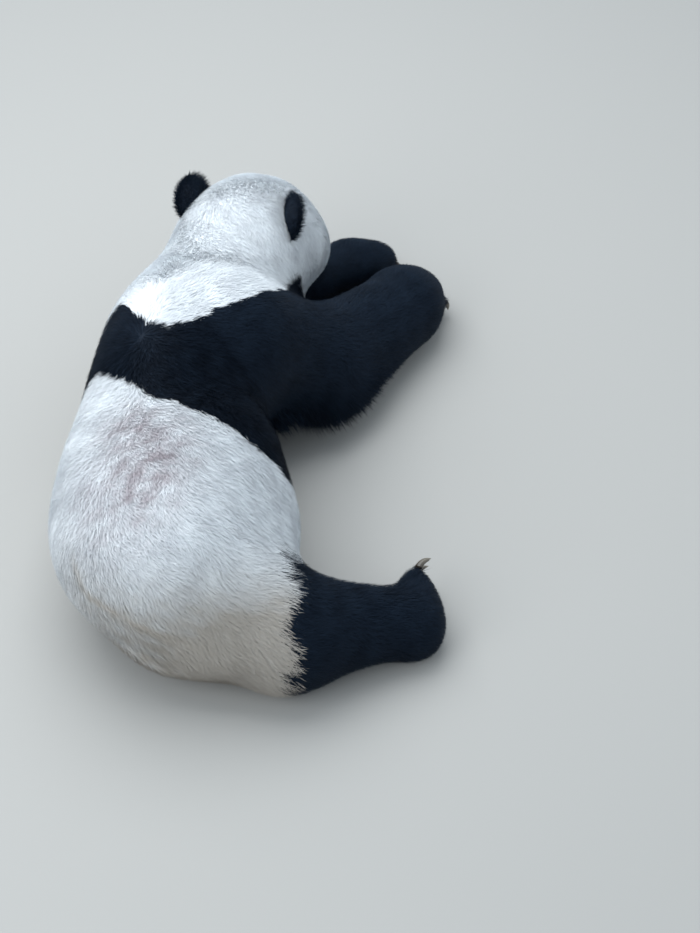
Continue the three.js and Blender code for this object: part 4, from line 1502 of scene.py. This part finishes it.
class PANDA_OT_stage(bpy.types.Operator):
    """Set the plain floor, the soft lights and the camera"""

    bl_idname = "panda.stage"
    bl_label = "Floor, lights and camera"

    def execute(self, context):
        scene = context.scene
        colours = scene.panda_colours
        corners = FLOOR_REACH * np.array([(-1, -1, 0), (1, -1, 0), (1, 1, 0), (-1, 1, 0)], float)
        floor = mesh_object("floor", corners, np.array([(0, 1, 2, 3)]), smooth=False)
        finish, _, shader = material("plain_floor", Roughness=0.9, Specular_IOR_Level=0.2)
        shader.inputs["Base Color"].default_value = opaque(colours.floor)
        floor.data.materials.append(finish)
        world = bpy.data.worlds.new("studio")
        world.use_nodes = True
        background = world.node_tree.nodes["Background"]
        background.inputs["Color"].default_value = WORLD_COLOUR
        background.inputs["Strength"].default_value = WORLD_STRENGTH
        scene.world = world
        scene.view_settings.view_transform = "Standard"
        for name, place, size, power in LIGHTS:
            light = bpy.data.lights.new(name, "AREA")
            light.size = size
            light.energy = power
            light.color = LIGHT_COLOUR
            lamp = bpy.data.objects.new(name, light)
            aim = facing_frame(np.array(place) - LIGHT_AIM, (0, 1, 0.01))
            lamp.matrix_world = Matrix.Translation(place) @ Matrix(aim.tolist()).to_4x4()
            scene.collection.objects.link(lamp)
        camera = bpy.data.cameras.new("camera")
        camera.lens = CAMERA_LENS
        camera.sensor_width = 36
        viewer = bpy.data.objects.new("camera", camera)
        viewer.location = CAMERA_PLACE
        viewer.rotation_euler = (math.radians(CAMERA_FALL), 0, 0)
        scene.collection.objects.link(viewer)
        scene.camera = viewer
        return {"FINISHED"}


WORLD_COLOUR = (0.80, 0.91, 1.0, 1)
WORLD_STRENGTH = 0.92
LIGHT_COLOUR = (0.94, 0.98, 1.0)
LIGHTS = (
    ("overhead", (-0.5, 0.9, 3.3), 3.4, 130),
    ("side", (-2.2, -2.4, 2.3), 2.5, 58),
)


# ---------------------------------------------------------------- settings, panel and running


def size_setting(name, description, default):
    return bpy.props.FloatProperty(
        name=name, description=description, default=default, min=0, unit="LENGTH"
    )


def share_setting(name, description, default):
    return bpy.props.FloatProperty(
        name=name, description=description, default=default, min=0, max=2, subtype="FACTOR"
    )


def colour_setting(name, description, default):
    return bpy.props.FloatVectorProperty(
        name=name, description=description, default=default, subtype="COLOR", min=0, max=1
    )


class PandaCoat(bpy.types.PropertyGroup):
    body_depth: size_setting("Body depth", "From skin to tips on the body", 0.0105)
    head_depth: size_setting("Head depth", "From skin to tips on the crown", 0.0085)
    face_depth: size_setting("Face depth", "From skin to tips on the face", 0.006)
    paw_depth: size_setting("Paw depth", "From skin to tips on the paws", 0.007)
    body_length: size_setting("Body length", "Length of a tuft on trunk and neck", 0.021)
    leg_length: size_setting("Leg length", "Length of a tuft on the legs", 0.023)
    head_length: size_setting("Head length", "Length of a tuft on the crown", 0.018)
    face_length: size_setting("Face length", "Length of a tuft on the face", 0.0095)
    paw_length: size_setting("Paw length", "Length of a tuft on the paws", 0.014)
    ear_length: size_setting("Ear length", "Length of a tuft on the ears", 0.0155)
    fringe_length: size_setting("Fringe length", "Extra length at the right elbow", 0.058)
    tuft_width: size_setting("Tuft width", "Widest part of a tuft on the body", 0.0025)
    lock_size: size_setting("Lock size", "Distance from one lock of tufts to the next", 0.008)
    lock_share: share_setting("Locks", "How far tips draw together", 1)
    tangle: share_setting("Tangle", "How far tufts turn at random", 1)
    tufts: bpy.props.IntProperty(name="Tufts", description="How many in all", default=368000, min=1)
    seed: bpy.props.IntProperty(name="Seed", description="Start of the random draws", default=5)


class PandaColours(bpy.types.PropertyGroup):
    white: colour_setting("White", "Clean white coat", (0.91, 0.945, 0.97))
    white_shade: colour_setting("White shade", "Darker tufts of the white coat", (0.60, 0.62, 0.655))
    # Painted shade at the roots of the white coat
    root_shade: colour_setting("Undercoat", "Roots of the white coat", (0.74, 0.74, 0.74))
    # Brown of the soil on rump and thigh, also used as the painted shade in the rump's fold and low on
    # the body
    soil_and_shade: colour_setting("Soil", "Soiled white coat", (0.43, 0.385, 0.335))
    stain: colour_setting("Stain", "Stained coat over the loin", (0.40, 0.35, 0.38))
    black: colour_setting("Black", "Black coat", (0.0012, 0.0034, 0.0080))
    # Lighter black tufts, with a painted bluish sheen, most on the legs
    black_tone_and_sheen: colour_setting("Black, lighter", "Lighter black tufts", (0.0095, 0.0165, 0.0290))
    sheen: colour_setting("Sheen", "Sheen of the black coat", (0.55, 0.68, 0.95))
    lip: colour_setting("Bare skin", "Lips, lids and nose", (0.006, 0.005, 0.005))
    lip_light: colour_setting("Bare skin, lighter", "Lighter flecks of bare skin", (0.014, 0.012, 0.012))
    iris: colour_setting("Iris", "Iris", (0.020, 0.010, 0.005))
    iris_dark: colour_setting("Iris, darker", "Darker flecks of the iris", (0.008, 0.004, 0.002))
    eye_white: colour_setting("Eye white", "The eye outside its iris", (0.012, 0.008, 0.007))
    claw: colour_setting("Claw", "Claw horn", (0.060, 0.047, 0.036))
    claw_dark: colour_setting("Claw, darker", "Darker streaks of the horn", (0.03, 0.024, 0.018))
    claw_tip: colour_setting("Claw tip", "The tip of a claw", (0.16, 0.14, 0.11))
    floor: colour_setting("Floor", "Plain floor", (0.38, 0.37, 0.355))


class PANDA_PT_sidebar(bpy.types.Panel):
    """Lists the steps and settings of the panda"""

    bl_label = "Giant panda"
    bl_space_type = "VIEW_3D"
    bl_region_type = "UI"
    bl_category = "Panda"

    def draw(self, context):
        for operator in OPERATORS:
            self.layout.operator(operator.bl_idname)
        for group in (context.scene.panda_coat, context.scene.panda_colours):
            for key in group.__annotations__:
                self.layout.prop(group, key)


OPERATORS = (PANDA_OT_stage, PANDA_OT_skin, PANDA_OT_coat, PANDA_OT_eyes, PANDA_OT_nose, PANDA_OT_claws)
CLASSES = (PandaCoat, PandaColours, *OPERATORS, PANDA_PT_sidebar)


def register():
    for each in CLASSES:
        bpy.utils.register_class(each)
    bpy.types.Scene.panda_coat = bpy.props.PointerProperty(type=PandaCoat)
    bpy.types.Scene.panda_colours = bpy.props.PointerProperty(type=PandaColours)


def unregister():
    del bpy.types.Scene.panda_colours
    del bpy.types.Scene.panda_coat
    for each in reversed(CLASSES):
        bpy.utils.unregister_class(each)


def main():
    register()
    bpy.ops.panda.stage()
    bpy.ops.panda.skin()
    bpy.ops.panda.coat()
    bpy.ops.panda.eyes()
    bpy.ops.panda.nose()
    bpy.ops.panda.claws()


if __name__ == "__main__":
    main()
